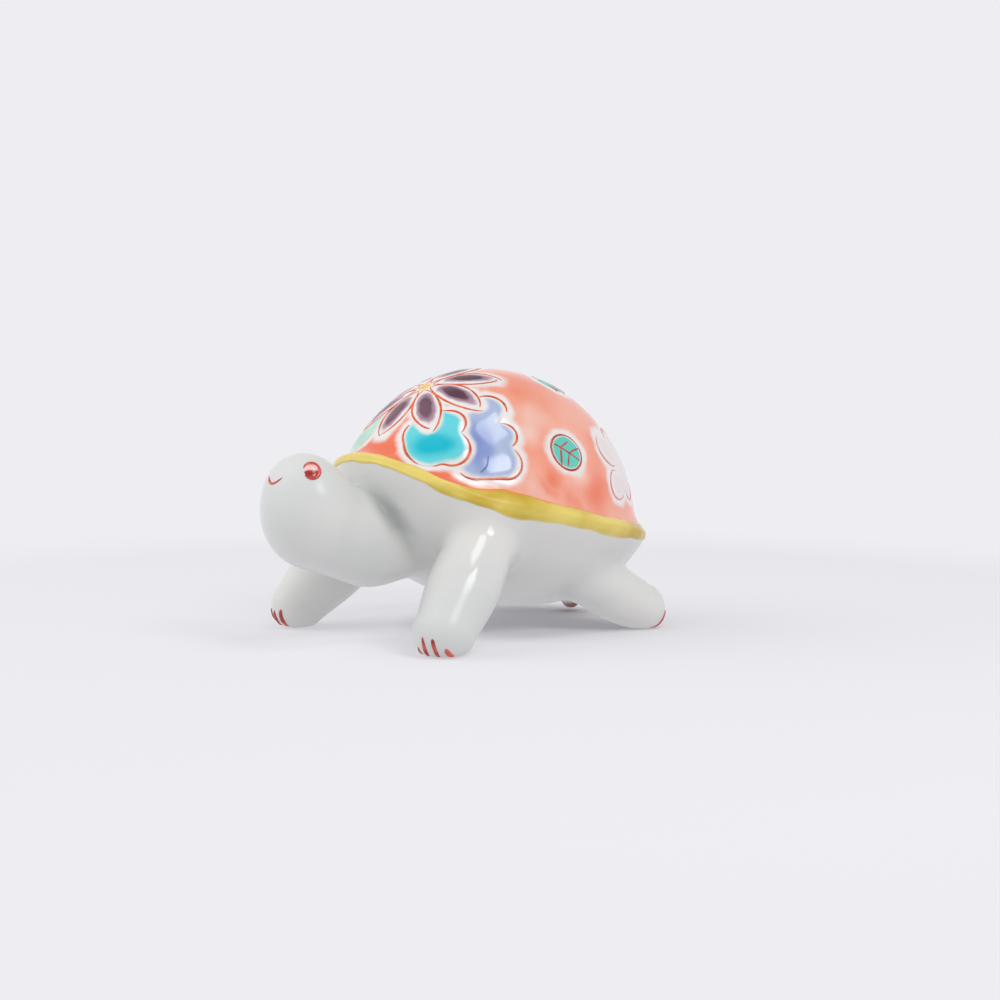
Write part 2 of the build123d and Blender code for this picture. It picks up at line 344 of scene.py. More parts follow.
def show(name, data):
    """Put a mesh, a light or a camera in the scene as an object."""
    thing = bpy.data.objects.new(name, data)
    bpy.context.scene.collection.objects.link(thing)
    return thing


def new_object(name, vertices, faces):
    """A smooth mesh object at the origin, from places in millimetres."""
    mesh = new_mesh(name, vertices, faces)
    mesh.shade_smooth()
    mesh.update()
    return show(name, mesh)


def mesh_places(mesh):
    """The places of a mesh's vertices, in millimetres."""
    places = np.empty(len(mesh.vertices) * 3)
    mesh.vertices.foreach_get("co", places)
    return places.reshape(-1, 3) / MM


def move_to(mesh, places):
    """Move a mesh's vertices to new places, in millimetres."""
    mesh.vertices.foreach_set("co", (places * MM).ravel())
    mesh.update()


def set_value(mesh, name, values):
    """Store one number at each vertex, for the materials to read."""
    layer = mesh.attributes.get(name) or mesh.attributes.new(name, "FLOAT", "POINT")
    layer.data.foreach_set("value", np.asarray(values, dtype=np.float32))


# %% The castings below the rim
# These numbers also set a painted shade: where the glaze pools in the creases it is made darker in colour,
# not only tinted celadon.
POOL_REACH = 6.5
POOL_POWER = 1.5
POOL_SHADE_HEIGHTS = (12.0, 18.0, 24.0, 28.0, 31.0, 34.0)
POOL_SHADE_SHARES = (0.1, 0.5, 0.8, 1.0, 0.7, 0.2)
LEG_POOL_SHADE_SHARE = 0.28
GLOSS_REACH = 9.0
GLOSS_HEIGHTS = (11.0, 18.0)


def crease_share(first, second):
    """How near a point is to the crease between two forms, from 0 to 1."""
    gap = np.clip(1.0 - np.abs(first - second) / POOL_REACH, 0.0, 1.0)
    near = np.clip(1.0 - np.minimum(np.abs(first), np.abs(second)) / POOL_REACH, 0.0, 1.0)
    return gap**POOL_POWER * near


def pooled_glaze_and_shade(forms, points):
    """How much glaze has run into the creases at each point, with the painted shade that darkens them,
    deepest beside the neck.
    """
    pooled_and_shaded = crease_share(forms["belly"], forms["head_and_neck"])
    pooled_and_shaded = pooled_and_shaded * np.interp(points[:, 2], POOL_SHADE_HEIGHTS, POOL_SHADE_SHARES)
    for name in LEGS:
        pooled_and_shaded = np.maximum(pooled_and_shaded, LEG_POOL_SHADE_SHARE * crease_share(forms["belly"], forms[name]))
    return pooled_and_shaded


def leg_gloss(forms, points):
    """1 high on the legs, which are wet with glaze, and 0 away from them, where the glaze is satin."""
    nearest = np.min([forms[name] for name in LEGS], axis=0)
    share = np.clip(1.0 - nearest / GLOSS_REACH, 0.0, 1.0)
    share = share * np.interp(points[:, 2], GLOSS_HEIGHTS, (0.0, 1.0))
    return share**2 * (3.0 - 2.0 * share)


def cut_castings():
    """One closed object for each casting below the rim."""
    forms = form_distances(skin_vertices[skin_quads].mean(axis=1))
    owner = np.argmin(np.stack(list(forms.values())), axis=0)
    starts = skin_quads.ravel()
    ends = np.roll(skin_quads, -1, axis=1).ravel()
    edge_owner = np.repeat(owner, 4)
    other_owner = dict(zip(zip(starts.tolist(), ends.tolist()), edge_owner.tolist()))
    castings = {}
    for label, name in enumerate(forms):
        used, renumbered = np.unique(skin_quads[owner == label], return_inverse=True)
        place = dict(zip(used.tolist(), range(len(used))))
        openings = {}
        mine = edge_owner == label
        for start, end in zip(starts[mine].tolist(), ends[mine].tolist()):
            neighbour = other_owner[(end, start)]
            if neighbour != label:
                openings.setdefault(neighbour, []).append((place[end], place[start]))
        vertices = skin_vertices[used]
        faces = renumbered.reshape(-1, 4).tolist()
        hubs = [vertices[np.unique(edges)].mean(axis=0) for edges in openings.values()]
        for hub, edges in enumerate(openings.values(), len(used)):
            faces += [(first, second, hub) for first, second in edges]
        castings[name] = finish_casting(name, used, np.concatenate((vertices, np.array(hubs))), faces)
    return castings


def finish_casting(name, used, vertices, faces):
    """A casting's object, with the skin's normals and the numbers that its material reads."""
    thing = new_object("glazed_" + name, vertices, faces)
    hubs = len(vertices) - len(used)
    near = form_distances(vertices)
    pooling_and_shade = pooled_glaze_and_shade(near, vertices)
    pooling_and_shade[len(used) :] = 0.0
    set_value(thing.data, "pooling_and_shade", pooling_and_shade)
    set_value(thing.data, "gloss", leg_gloss(near, vertices))
    normals = np.concatenate((skin_normals[used], np.tile((0.0, 0.0, 1.0), (hubs, 1))))
    thing.data.normals_split_custom_set_from_vertices(normals.tolist())
    return thing


castings = cut_castings()
print("castings:", {name: len(thing.data.polygons) for name, thing in castings.items()})

# %% [markdown]
# ## The carapace
#
# The dome is a ruled form: meridians run down the ellipsoid from the crown to the sloping rim, flare
# outwards over the last few millimetres, and turn round a soft lip. A grid of meridians and rings
# follows that rule exactly, and gives fine, even vertices to hold the painting's reserve: the white
# margin that the painter left round each flower.

# %% The dome's rule
MERIDIANS = 420
RINGS = 150
LIP_HEIGHT = 0.65
LIP_RADIUS = 0.9
LIP_TURNS = np.radians((30.0, 12.0, -6.0, -24.0, -42.0, -60.0))
LIP_START = math.radians(48.0)
FRONT_REACH_SHARE = 0.84
SEAT_WIDTH = 5.0
RIM_SEARCH = np.radians((-15.0, 60.0))
HALVINGS = 40
UPRIGHT = np.array((0.0, 0.0, 1.0))


def all_round(count):
    """Even angles all the way round."""
    return np.linspace(0.0, 2 * math.pi, count, endpoint=False)


def direction(azimuth, elevation):
    """Directions from a form's middle; azimuth 0 is the front and 90 degrees the turtle's left."""
    level = np.cos(elevation)
    return np.stack((level * np.sin(azimuth), -level * np.cos(azimuth), np.sin(elevation)), axis=-1)


def shell_points(azimuth, elevation):
    """Places on the plain ellipsoid."""
    return SHELL_CENTRE + SHELL_HALF * direction(azimuth, elevation)


def outwards_on_shell(points):
    """Level directions that point away from the dome."""
    return unit((points - SHELL_CENTRE) / SHELL_HALF**2 * (1.0, 1.0, 0.0))


def flared(points):
    """Places on the plain ellipsoid moved outwards to the flaring brim."""
    height = above_rim(points) / FLARE_HEIGHT
    out = outwards_on_shell(points)
    front = np.clip(-out[..., 1], 0.0, 1.0)
    reach = BRIM_REACH * (1.0 - (1.0 - FRONT_REACH_SHARE) * front) * np.clip(1.0 - height, 0.0, 1.0) ** 2
    moved = points + reach[..., None] * out
    moved[..., 2] += rim_height(moved[..., 1]) - rim_height(points[..., 1])
    return moved


def rim_elevations(azimuth):
    """The elevation at which each meridian meets the rim, by halving."""
    low = np.full(azimuth.shape, RIM_SEARCH[0])
    high = np.full(azimuth.shape, RIM_SEARCH[1])
    for _ in range(HALVINGS):
        middle = (low + high) / 2
        above = above_rim(shell_points(azimuth, middle)) > LIP_HEIGHT
        high = np.where(above, middle, high)
        low = np.where(above, low, middle)
    return (low + high) / 2


def lip_rows(edge):
    """Rows of places from the flare's end round the soft lip to its underside."""
    out = outwards_on_shell(edge)
    middle = edge - LIP_RADIUS * (math.cos(LIP_START) * out + math.sin(LIP_START) * UPRIGHT)
    return [middle + LIP_RADIUS * (math.cos(turn) * out + math.sin(turn) * UPRIGHT) for turn in LIP_TURNS]


def ring_faces(rows, columns, closed):
    """Quads between the rows of a grid that goes all the way round, outer faces first."""
    faces = []
    for row in range(rows if closed else rows - 1):
        below = (row + 1) % rows
        for column in range(columns):
            beside = (column + 1) % columns
            upper = (row * columns + column, row * columns + beside)
            lower = (below * columns + column, below * columns + beside)
            faces.append((upper[0], lower[0], lower[1], upper[1]))
    return faces


def capped(rows, top, bottom):
    """Vertices and faces of a closed form: rows that go all the way round, with a fan at each end."""
    columns = len(rows[0])
    faces = ring_faces(len(rows), columns, closed=False)
    last = (len(rows) - 1) * columns
    crown = len(rows) * columns
    for column in range(columns):
        beside = (column + 1) % columns
        faces.append((crown, column, beside))
        faces.append((crown + 1, last + beside, last + column))
    return np.concatenate((*rows, (top, bottom))), faces


def make_carapace():
    """The closed dome with its brim, lip and seat."""
    azimuth = all_round(MERIDIANS)
    lowest = rim_elevations(azimuth)
    rows = []
    for share in np.linspace(0.0, 1.0, RINGS + 1)[1:]:
        elevation = math.pi / 2 + (lowest - math.pi / 2) * share
        rows.append(flared(shell_points(azimuth, elevation)))
    rows += lip_rows(rows[-1])
    rows.append(rows[-1] - SEAT_WIDTH * outwards_on_shell(rows[-1]))
    top = SHELL_CENTRE + SHELL_HALF * UPRIGHT
    return new_object("painted_carapace", *capped(rows, top, rows[-1].mean(axis=0)))


carapace = make_carapace()
print("carapace:", len(carapace.data.polygons), "faces")

# %% [markdown]
# ## Where the painter put the motifs
#
# Each motif is drawn flat, as on paper, about a point where a plane touches the dome. A blossom is a few
# discs that run into each other, larger and smaller as a hand paints them; the chrysanthemum has a ring
# of long petals, and the leaf roundels are plain circles. The outlines are formulas, so the same line
# serves the enamel's edge, the brush line round it and the reserve on the carapace. The far side has the
# near side's blossoms in reverse.

# %% Motif places and outlines
PETALS = 8
PETAL_TURN = 5.0
PETAL_MIDDLE = 8.8
PETAL_HALF_LENGTH = 6.6
PETAL_HALF_WIDTH = 2.8
HEART_RADIUS = 1.9
LOBE_BLEND = 1.0
FILL_BLEND = 3.6
BLOSSOM_REACH = 16.0
OUTLINE_STEPS = 80
CLEAR = 30.0

FLOWER_PLACE = (-3.0, 63.5)
BLOSSOMS = {
    "turquoise_blossom": (34.5, 37.5),
    "lavender_blossom": (55.0, 38.0),
    "pale_blossom": (131.0, 26.0),
    "green_blossom": (-27.0, 39.5),
    "right_lavender_blossom": (-51.0, 38.0),
    "right_pale_blossom": (-131.0, 26.0),
}
LOBES = {
    "turquoise_blossom": (
        (-0.4, 0.2, 4.3), (1.5, 4.0, 3.6), (3.0, -2.0, 3.8), (-1.6, -2.4, 4.1),
        (-4.0, 1.7, 3.8), (-3.4, -1.0, 3.5), (-2.0, 4.5, 3.4),
    ),
    "lavender_blossom": (
        (0.6, -1.6, 4.5), (-0.4, 3.6, 3.3), (1.9, 7.6, 3.85), (4.4, 0.7, 2.85),
        (3.9, -5.4, 3.6), (0.9, -5.5, 3.7), (-2.2, -5.2, 4.1), (-2.6, 1.5, 4.0),
    ),
    "pale_blossom": (
        (1.2, -0.6, 3.6), (-4.5, 3.4, 3.9), (-6.2, -4.6, 3.2), (-2.4, -4.0, 2.4),
        (1.2, -5.2, 3.3), (5.4, -0.8, 3.5), (2.2, 4.6, 3.6),
    ),
}
TWINS = {
    "green_blossom": "turquoise_blossom",
    "right_lavender_blossom": "lavender_blossom",
    "right_pale_blossom": "pale_blossom",
}
ROUNDELS = {
    "left_leaf_roundel": (92.5, 31.6, 4.05),
    "right_leaf_roundel": (-92.5, 31.6, 4.05),
    "top_leaf_roundel": (137.0, 65.0, 4.1),
}


def form_place(centre, half_sizes, azimuth, elevation):
    """An ellipsoid's centre and half sizes, and a plane's touch point, across, up and facing directions."""
    out = direction(math.radians(azimuth), math.radians(elevation))
    facing = unit(out / half_sizes)
    across = unit(np.cross(UPRIGHT, facing))
    return centre, half_sizes, centre + half_sizes * out, across, np.cross(facing, across), facing


def dome_place(azimuth, elevation):
    """A plane that touches the carapace."""
    return form_place(SHELL_CENTRE, SHELL_HALF, azimuth, elevation)


def dome_points(azimuth, elevation, sideways, upwards):
    """Where flat places about a touch point lie on the dome."""
    touch, across, up, facing = dome_place(azimuth, elevation)[2:]
    start = (touch + sideways[:, None] * across + upwards[:, None] * up - SHELL_CENTRE) / SHELL_HALF
    step = facing / SHELL_HALF
    slope = start @ step
    root = np.sqrt(np.maximum(slope**2 - step @ step * ((start**2).sum(axis=1) - 1.0), 0.0))
    travel = (root - slope) / (step @ step)
    return SHELL_CENTRE + SHELL_HALF * (start + travel[:, None] * step)


def side_of(name):
    """-1 for a blossom that is another one in reverse, or else 1."""
    return -1.0 if name in TWINS else 1.0


def lobe_distance(name, across, up, softness=LOBE_BLEND):
    """Flat distance to a blossom's outline, negative inside."""
    best = np.full(np.shape(across), BLOSSOM_REACH)
    for x, y, radius in LOBES[TWINS.get(name, name)]:
        best = blend(best, np.hypot(across - side_of(name) * x, up - y) - radius, softness)
    return best


def blossom_radius(name, angles):
    """How far out a blossom's outline is at each angle, by walking inwards from beyond it."""
    radius = np.full(angles.shape, BLOSSOM_REACH)
    for _ in range(OUTLINE_STEPS):
        gap = lobe_distance(name, radius * np.cos(angles), radius * np.sin(angles))
        radius = radius - np.maximum(gap, 0.0)
    return radius


def petal_turns():
    """The direction in which each petal lies."""
    return [math.radians(PETAL_TURN + index * 360.0 / PETALS) for index in range(PETALS)]


def petal_distance(across, up):
    """Flat distance to the nearest petal's outline, negative inside."""
    best = np.full(across.shape, np.inf)
    for turn in petal_turns():
        along = across * math.cos(turn) + up * math.sin(turn) - PETAL_MIDDLE
        beside = up * math.cos(turn) - across * math.sin(turn)
        size = np.hypot(along / PETAL_HALF_LENGTH, beside / PETAL_HALF_WIDTH)
        slope = np.hypot(along / PETAL_HALF_LENGTH**2, beside / PETAL_HALF_WIDTH**2) + TINY
        best = np.minimum(best, size * (size - 1.0) / slope)
    return best


def motif_gap(points, azimuth, elevation, outline):
    """Distance from points on the dome to a motif, negative inside, or a clear distance behind the dome."""
    touch, across, up, facing = dome_place(azimuth, elevation)[2:]
    local = points - touch
    near = local @ facing > -SHELL_HALF[0] / 2
    return np.where(near, outline(local @ across, local @ up), CLEAR)


def blossom_gap(name, points):
    """Distance from points on the dome to a blossom."""
    return motif_gap(points, *BLOSSOMS[name], lambda across, up: lobe_distance(name, across, up))


def disc_gap(points, azimuth, elevation, radius):
    """Distance from points on the dome to a round motif."""
    return motif_gap(points, azimuth, elevation, lambda across, up: np.hypot(across, up) - radius)


def reserve_distance(points):
    """Distance from each point of the carapace to the nearest motif, negative inside one."""
    gaps = [np.full(len(points), CLEAR), motif_gap(points, *FLOWER_PLACE, petal_distance)]
    gaps.append(disc_gap(points, *FLOWER_PLACE, HEART_RADIUS))
    gaps += [blossom_gap(name, points) for name in BLOSSOMS]
    gaps += [disc_gap(points, *roundel) for roundel in ROUNDELS.values()]
    return np.min(gaps, axis=0)


# %% Coral clouds and the carapace's own numbers
CORAL_CLOUDS = (
    (82.0, 22.0, 2.6, 0.9), (101.0, 15.6, 4.5, 0.7), (113.0, 35.0, 4.0, 0.45), (80.6, 33.8, 3.0, 0.3),
    (79.7, 59.3, 2.6, 0.5), (92.0, 67.5, 3.5, 0.35), (107.0, 20.5, 4.0, 0.4), (127.0, 8.3, 4.0, 0.3),
    (81.0, 47.4, 4.0, -0.55), (75.8, 39.4, 2.6, -0.8), (74.4, 18.8, 3.4, -0.55), (96.0, 22.7, 2.6, -0.9),
)


def cloud_tone(points):
    """The coral's hand-laid clouds, alike on both sides: stronger above 0 and paler below 0."""
    near_side = np.abs(points * (1.0, 0.0, 0.0)) + points * (0.0, 1.0, 1.0)
    tone = np.zeros(len(points))
    for azimuth, elevation, reach, amount in CORAL_CLOUDS:
        middle = shell_points(math.radians(azimuth), math.radians(elevation))
        tone += amount * np.exp(-((near_side - middle) ** 2).sum(axis=1) / reach**2)
    return tone


carapace_points = mesh_places(carapace.data)
reserve = reserve_distance(carapace_points)
set_value(carapace.data, "reserve", reserve)
set_value(carapace.data, "tone", cloud_tone(carapace_points))
set_value(carapace.data, "above_rim", above_rim(carapace_points))
print("reserve from", round(float(reserve.min()), 1), "mm")

# %% [markdown]
# ## Node helpers
#
# Both Geometry Nodes and shaders are graphs. One helper adds a node and feeds its sockets. A Wire stands
# for a number on its way through a tree, and an Arrow for a vector: arithmetic with them adds Math
# nodes, so a formula in a tree reads like the same formula in plain Python.


# %% Helpers for trees
def feed(tree, socket, source):
    """Link a socket to a wire or another node's output, or set it to a plain value."""
    if isinstance(source, Wire):
        source = source.socket
    if isinstance(source, bpy.types.NodeSocket):
        tree.links.new(source, socket)
    else:
        socket.default_value = source


def add_node(tree, kind, settings=None, **inputs):
    """Add a node with its settings, and feed its inputs by name, with _ for a space."""
    node = tree.nodes.new(kind)
    for name, value in (settings or {}).items():
        setattr(node, name, value)
    for name, source in inputs.items():
        feed(tree, node.inputs[name.replace("_", " ")], source)
    return node


class Wire:
    """A number on its way through a tree."""

    kind = "ShaderNodeMath"

    def __init__(self, tree, socket):
        self.tree = tree
        self.socket = socket

    def run(self, operation, *values):
        """Add a node of arithmetic and feed it."""
        node = add_node(self.tree, self.kind, {"operation": operation})
        for socket, value in zip(node.inputs, values):
            feed(self.tree, socket, value)
        return node

    def step(self, operation, *values):
        """What one step of arithmetic gives."""
        return type(self)(self.tree, self.run(operation, *values).outputs[0])

    def __add__(self, other):
        return self.step("ADD", self, other)

    def __sub__(self, other):
        return self.step("SUBTRACT", self, other)

    def __rsub__(self, other):
        return self.step("SUBTRACT", other, self)

    def __mul__(self, other):
        return self.step("MULTIPLY", self, other)

    def __truediv__(self, other):
        return self.step("DIVIDE", self, other)

    def __pow__(self, other):
        return self.step("POWER", self, other)

    def at_least(self, other):
        """The larger of two numbers."""
        return self.step("MAXIMUM", self, other)

    def root(self):
        """The square root."""
        return self.step("SQRT", self)

    def ramp(self, start, end):
        """0 below the start, 1 above the end, and a smooth ramp between."""
        smooth = {"interpolation_type": "SMOOTHSTEP"}
        node = add_node(self.tree, "ShaderNodeMapRange", smooth, Value=self, From_Min=start, From_Max=end)
        return Wire(self.tree, node.outputs["Result"])

    def mix(self, first, second):
        """The first colour where the number is 0, the second where it is 1."""
        node = add_node(self.tree, "ShaderNodeMix", {"data_type": "RGBA"}, Factor=self)
        feed(self.tree, node.inputs[6], first)
        feed(self.tree, node.inputs[7], second)
        return node.outputs[2]


class Arrow(Wire):
    """A vector on its way through a tree."""

    kind = "ShaderNodeVectorMath"

    def measure(self, operation, *others):
        """A number from vectors: a dot product, a length or a distance."""
        return Wire(self.tree, self.run(operation, self, *others).outputs["Value"])

    def scaled(self, size):
        """The same direction, with its length times a number."""
        node = self.run("SCALE", self)
        feed(self.tree, node.inputs["Scale"], size)
        return Arrow(self.tree, node.outputs[0])

    def unit(self):
        """The same direction, with a length of 1."""
        return self.step("NORMALIZE", self)

    def part(self, axis):
        """The part along one axis."""
        return Wire(self.tree, add_node(self.tree, "ShaderNodeSeparateXYZ", Vector=self).outputs[axis])


def upwards_by(tree, height):
    """A vector straight up."""
    return Arrow(tree, add_node(tree, "ShaderNodeCombineXYZ", Z=height).outputs[0])


def start_group(name, kind, inputs, outputs):
    """A new group, with the kinds of its named inputs and outputs."""
    tree = bpy.data.node_groups.new(name, kind)
    for way, sockets in (("INPUT", inputs), ("OUTPUT", outputs)):
        for socket, socket_kind in sockets.items():
            tree.interface.new_socket(socket, in_out=way, socket_type="NodeSocket" + socket_kind)
    return tree, tree.nodes.new("NodeGroupInput").outputs, tree.nodes.new("NodeGroupOutput").inputs


# %% [markdown]
# ## Lay flat work on a glazed form
#
# This group takes anything drawn flat, with its height as Z, and lays it on an ellipsoid: it follows the
# plane's facing direction down to the surface, moves out with the flaring brim, and then rises by the
# drawn height. A Shrinkwrap modifier does something alike, but it needs a target object and loses the
# drawn height.

# %% The laying group
PLACE_SOCKETS = ("Centre", "Half Sizes", "Touch Point", "Across", "Up", "Facing")
PLACE_INPUTS = {"Geometry": "Geometry", **dict.fromkeys(PLACE_SOCKETS, "Vector"), "Brim Reach": "Float"}


def rim_wire(y):
    """The rim's height in metres at a place along the figure, as rim_height gives it."""
    ahead = float(SHELL_CENTRE[1]) * MM - y
    lift = (ahead - RIM_BEND_AHEAD * MM).at_least(0.0) / (FRONT_LIFT_LENGTH * MM)
    return ahead * RIM_SLOPE + lift**2.0 * (FRONT_LIFT * MM) + (SHELL_CENTRE[2] + RIM_ABOVE_CENTRE) * MM


def on_flare(touching, normal, reach):
    """Work moved out with the carapace where it flares to its brim."""
    rim = rim_wire(touching.part("Y"))
    height = touching.part("Z") - rim
    share = (1.0 - height / (FLARE_HEIGHT * MM)).at_least(0.0) ** 2.0
    level = (normal * (1.0, 1.0, 0.0)).unit()
    moved = touching + level.scaled(share * reach)
    rise = (rim_wire(moved.part("Y")) - rim) * reach.step("GREATER_THAN", reach, 0.0)
    return moved + upwards_by(touching.tree, rise)


def make_laying_group():
    """Geometry nodes that lay flat work on an ellipsoid."""
    tree, given, result = start_group(
        "lay_on_form", "GeometryNodeTree", PLACE_INPUTS, {"Geometry": "Geometry"}
    )
    centre, half_sizes, touch, across, up, facing = (Arrow(tree, given[name]) for name in PLACE_SOCKETS)
    flat = Arrow(tree, tree.nodes.new("GeometryNodeInputPosition").outputs[0])
    on_paper = touch + (across.scaled(flat.part("X")) + up.scaled(flat.part("Y")))
    start = (on_paper - centre) / half_sizes
    step = facing / half_sizes
    square = step.measure("DOT_PRODUCT", step)
    slope = start.measure("DOT_PRODUCT", step)
    beyond = start.measure("DOT_PRODUCT", start) - 1.0
    root = (slope * slope - square * beyond).at_least(0.0).root()
    touching = on_paper + facing.scaled((root - slope) / square)
    normal = ((touching - centre) / half_sizes / half_sizes).unit()
    raised = on_flare(touching, normal, Wire(tree, given["Brim Reach"])) + normal.scaled(flat.part("Z"))
    laid = add_node(tree, "GeometryNodeSetPosition", Geometry=given["Geometry"], Position=raised)
    feed(tree, result["Geometry"], laid.outputs["Geometry"])
    return tree


laying_group = make_laying_group()
print("laying group:", len(laying_group.nodes), "nodes")

# %% [markdown]
# ## Three trees that use it
#
# Enamel fields are laid as they are. Petals are one drawn petal, copied round the flower's heart and
# then laid. Brush lines start as bare paths: the tree sweeps a round brush along them, thin where the
# stroke starts and ends and a little uneven between, flattens it, and lays it.

# %% The trees
BRUSH_STEP = 0.25
BRUSH_SIDES = 8
TAPER_POWER = 0.45
THINNEST_SHARE = 0.25
TREMOR_SCALE = 260.0
TREMOR_SIZE = 1.1
LEAST_PRESSURE = 0.45
LINE_FLATNESS = 0.55


def start_tree(name, **extra):
    """A tree with the place inputs and its own extra inputs."""
    return start_group(name, "GeometryNodeTree", PLACE_INPUTS | extra, {"Geometry": "Geometry"})


def finish_tree(tree, given, result, geometry):
    """Lay the flat work, make it plain geometry and give it its material."""
    laid = add_node(tree, "GeometryNodeGroup", {"node_tree": laying_group}, Geometry=geometry)
    for name in (*PLACE_SOCKETS, "Brim Reach"):
        feed(tree, laid.inputs[name], given[name])
    real = add_node(tree, "GeometryNodeRealizeInstances", Geometry=laid.outputs["Geometry"])
    smooth = add_node(tree, "GeometryNodeSetShadeSmooth", Geometry=real.outputs["Geometry"])
    painted = add_node(tree, "GeometryNodeSetMaterial", Geometry=smooth.outputs["Geometry"])
    feed(tree, painted.inputs["Material"], given["Material"])
    feed(tree, result["Geometry"], painted.outputs["Geometry"])
    return tree


def make_field_tree():
    """An enamel field, laid as it was drawn."""
    tree, given, result = start_tree("enamel_field", Material="Material")
    return finish_tree(tree, given, result, given["Geometry"])


def make_petal_tree():
    """One drawn petal, copied round the heart of a flower."""
    tree, given, result = start_tree("petal_ring", Petals="Int", Turn="Float", Material="Material")
    hub = add_node(tree, "GeometryNodeMeshLine", {"mode": "OFFSET"}, Count=given["Petals"])
    hub.inputs["Offset"].default_value = (0.0, 0.0, 0.0)
    index = Wire(tree, tree.nodes.new("GeometryNodeInputIndex").outputs[0])
    angle = index / given["Petals"] * (2 * math.pi) + given["Turn"]
    petals = add_node(tree, "GeometryNodeInstanceOnPoints", Points=hub.outputs["Mesh"])
    feed(tree, petals.inputs["Instance"], given["Geometry"])
    feed(tree, petals.inputs["Rotation"], upwards_by(tree, angle))
    real = add_node(tree, "GeometryNodeRealizeInstances", Geometry=petals.outputs["Instances"])
    return finish_tree(tree, given, result, real.outputs["Geometry"])


def make_brush_tree():
    """Bare paths, swept with a round brush that thins out at both ends."""
    sockets = dict.fromkeys(("Width", "Lift", "Seed"), "Float")
    tree, given, result = start_tree("brush_line", **sockets, Material="Material")
    path = add_node(tree, "GeometryNodeMeshToCurve", Mesh=given["Geometry"])
    even = add_node(tree, "GeometryNodeResampleCurve", {"mode": "LENGTH"}, Curve=path.outputs["Curve"])
    even.inputs["Length"].default_value = BRUSH_STEP * MM
    along = Wire(tree, tree.nodes.new("GeometryNodeSplineParameter").outputs["Factor"])
    arch = along.step("SINE", along * math.pi).at_least(0.0) ** TAPER_POWER
    taper = arch * (1.0 - THINNEST_SHARE) + THINNEST_SHARE
    position = Arrow(tree, tree.nodes.new("GeometryNodeInputPosition").outputs[0])
    tremor = add_node(tree, "ShaderNodeTexNoise", {"noise_dimensions": "4D"}, Vector=position)
    feed(tree, tremor.inputs["W"], given["Seed"])
    tremor.inputs["Scale"].default_value = TREMOR_SCALE
    pressure = Wire(tree, tremor.outputs[0]) * TREMOR_SIZE + LEAST_PRESSURE
    radius = Wire(tree, given["Width"]) * 0.5 * (taper * pressure)
    brush = add_node(tree, "GeometryNodeCurvePrimitiveCircle", Resolution=BRUSH_SIDES, Radius=1.0)
    swept = add_node(tree, "GeometryNodeCurveToMesh", Curve=even.outputs["Curve"], Fill_Caps=True)
    feed(tree, swept.inputs["Profile Curve"], brush.outputs["Curve"])
    feed(tree, swept.inputs["Scale"], radius)
    low = position * (1.0, 1.0, LINE_FLATNESS) + upwards_by(tree, given["Lift"])
    flat = add_node(tree, "GeometryNodeSetPosition", Geometry=swept.outputs["Mesh"], Position=low)
    return finish_tree(tree, given, result, flat.outputs["Geometry"])


field_tree = make_field_tree()
petal_tree = make_petal_tree()
brush_tree = make_brush_tree()
print("trees:", field_tree.name, petal_tree.name, brush_tree.name)


# %% Run a tree and keep its mesh
def lay(name, flat_mesh, tree, place, brim_reach=0.0, **values):
    """Run a tree on flat work at a place on a form, and keep the result as a plain mesh."""
    draft = show("draft_" + name, flat_mesh)
    modifier = draft.modifiers.new("lay", "NODES")
    modifier.node_group = tree
    vectors = [np.asarray(part) * MM for part in place[:3]] + list(place[3:])
    settings = {socket: vector.tolist() for socket, vector in zip(PLACE_SOCKETS, vectors)}
    settings.update(values)
    settings["Brim Reach"] = brim_reach * MM
    for item in tree.interface.items_tree:
        if item.in_out == "INPUT" and item.name in settings:
            modifier[item.identifier] = settings[item.name]
    evaluated = draft.evaluated_get(bpy.context.evaluated_depsgraph_get())
    mesh = bpy.data.meshes.new_from_object(evaluated)
    mesh.name = name
    bpy.data.objects.remove(draft)
    return show(name, mesh)


# %% [markdown]
# ## Glaze and enamel
#
# Everything on the figure is glass: a white glaze that is a little wavy, cooler where it pools and
# darkened there with a painted shade, and enamels that are dense in the middle of a stroke and fade out
# like watercolour. Two shared groups hold those effects. The shaders themselves stay in each material,
# with a low roughness for the wet-looking gloss.

# %% Shared shader groups
WAVE_SCALE = 70.0
WAVE_DEPTH = 0.0012
PEEL_SCALE = 900.0
PEEL_SHARE = 0.04
SPECK_SCALE = 380.0
SPECK_EDGE = (0.03, 0.07)
SPECK_RARITY = (0.62, 0.70)
SPECK_STRENGTH = 0.35
SPECK_COLOUR = (0.30, 0.26, 0.22, 1.0)
LEAST_ROUGHNESS = 0.09
ROUGHNESS_RANGE = 0.08
STREAK_STRETCH = (0.35, 0.35, 1.6)
STREAK_TURN = (0.3, 0.1, 0.0)
DENSITY_RANGE = (0.80, 1.25)


def object_places(tree):
    """Places on the piece, in metres."""
    return Arrow(tree, tree.nodes.new("ShaderNodeTexCoord").outputs["Object"])


def noise(tree, scale, detail=2.0, places=None):
    """A noise texture's value over the piece."""
    places = places or object_places(tree)
    node = add_node(tree, "ShaderNodeTexNoise", Vector=places, Scale=scale, Detail=detail)
    return Wire(tree, node.outputs[0])


def waver(tree, scale, size, detail=3.0):
    """A hand's unevenness: noise to both sides of 0."""
    return (noise(tree, scale, detail) - 0.5) * size


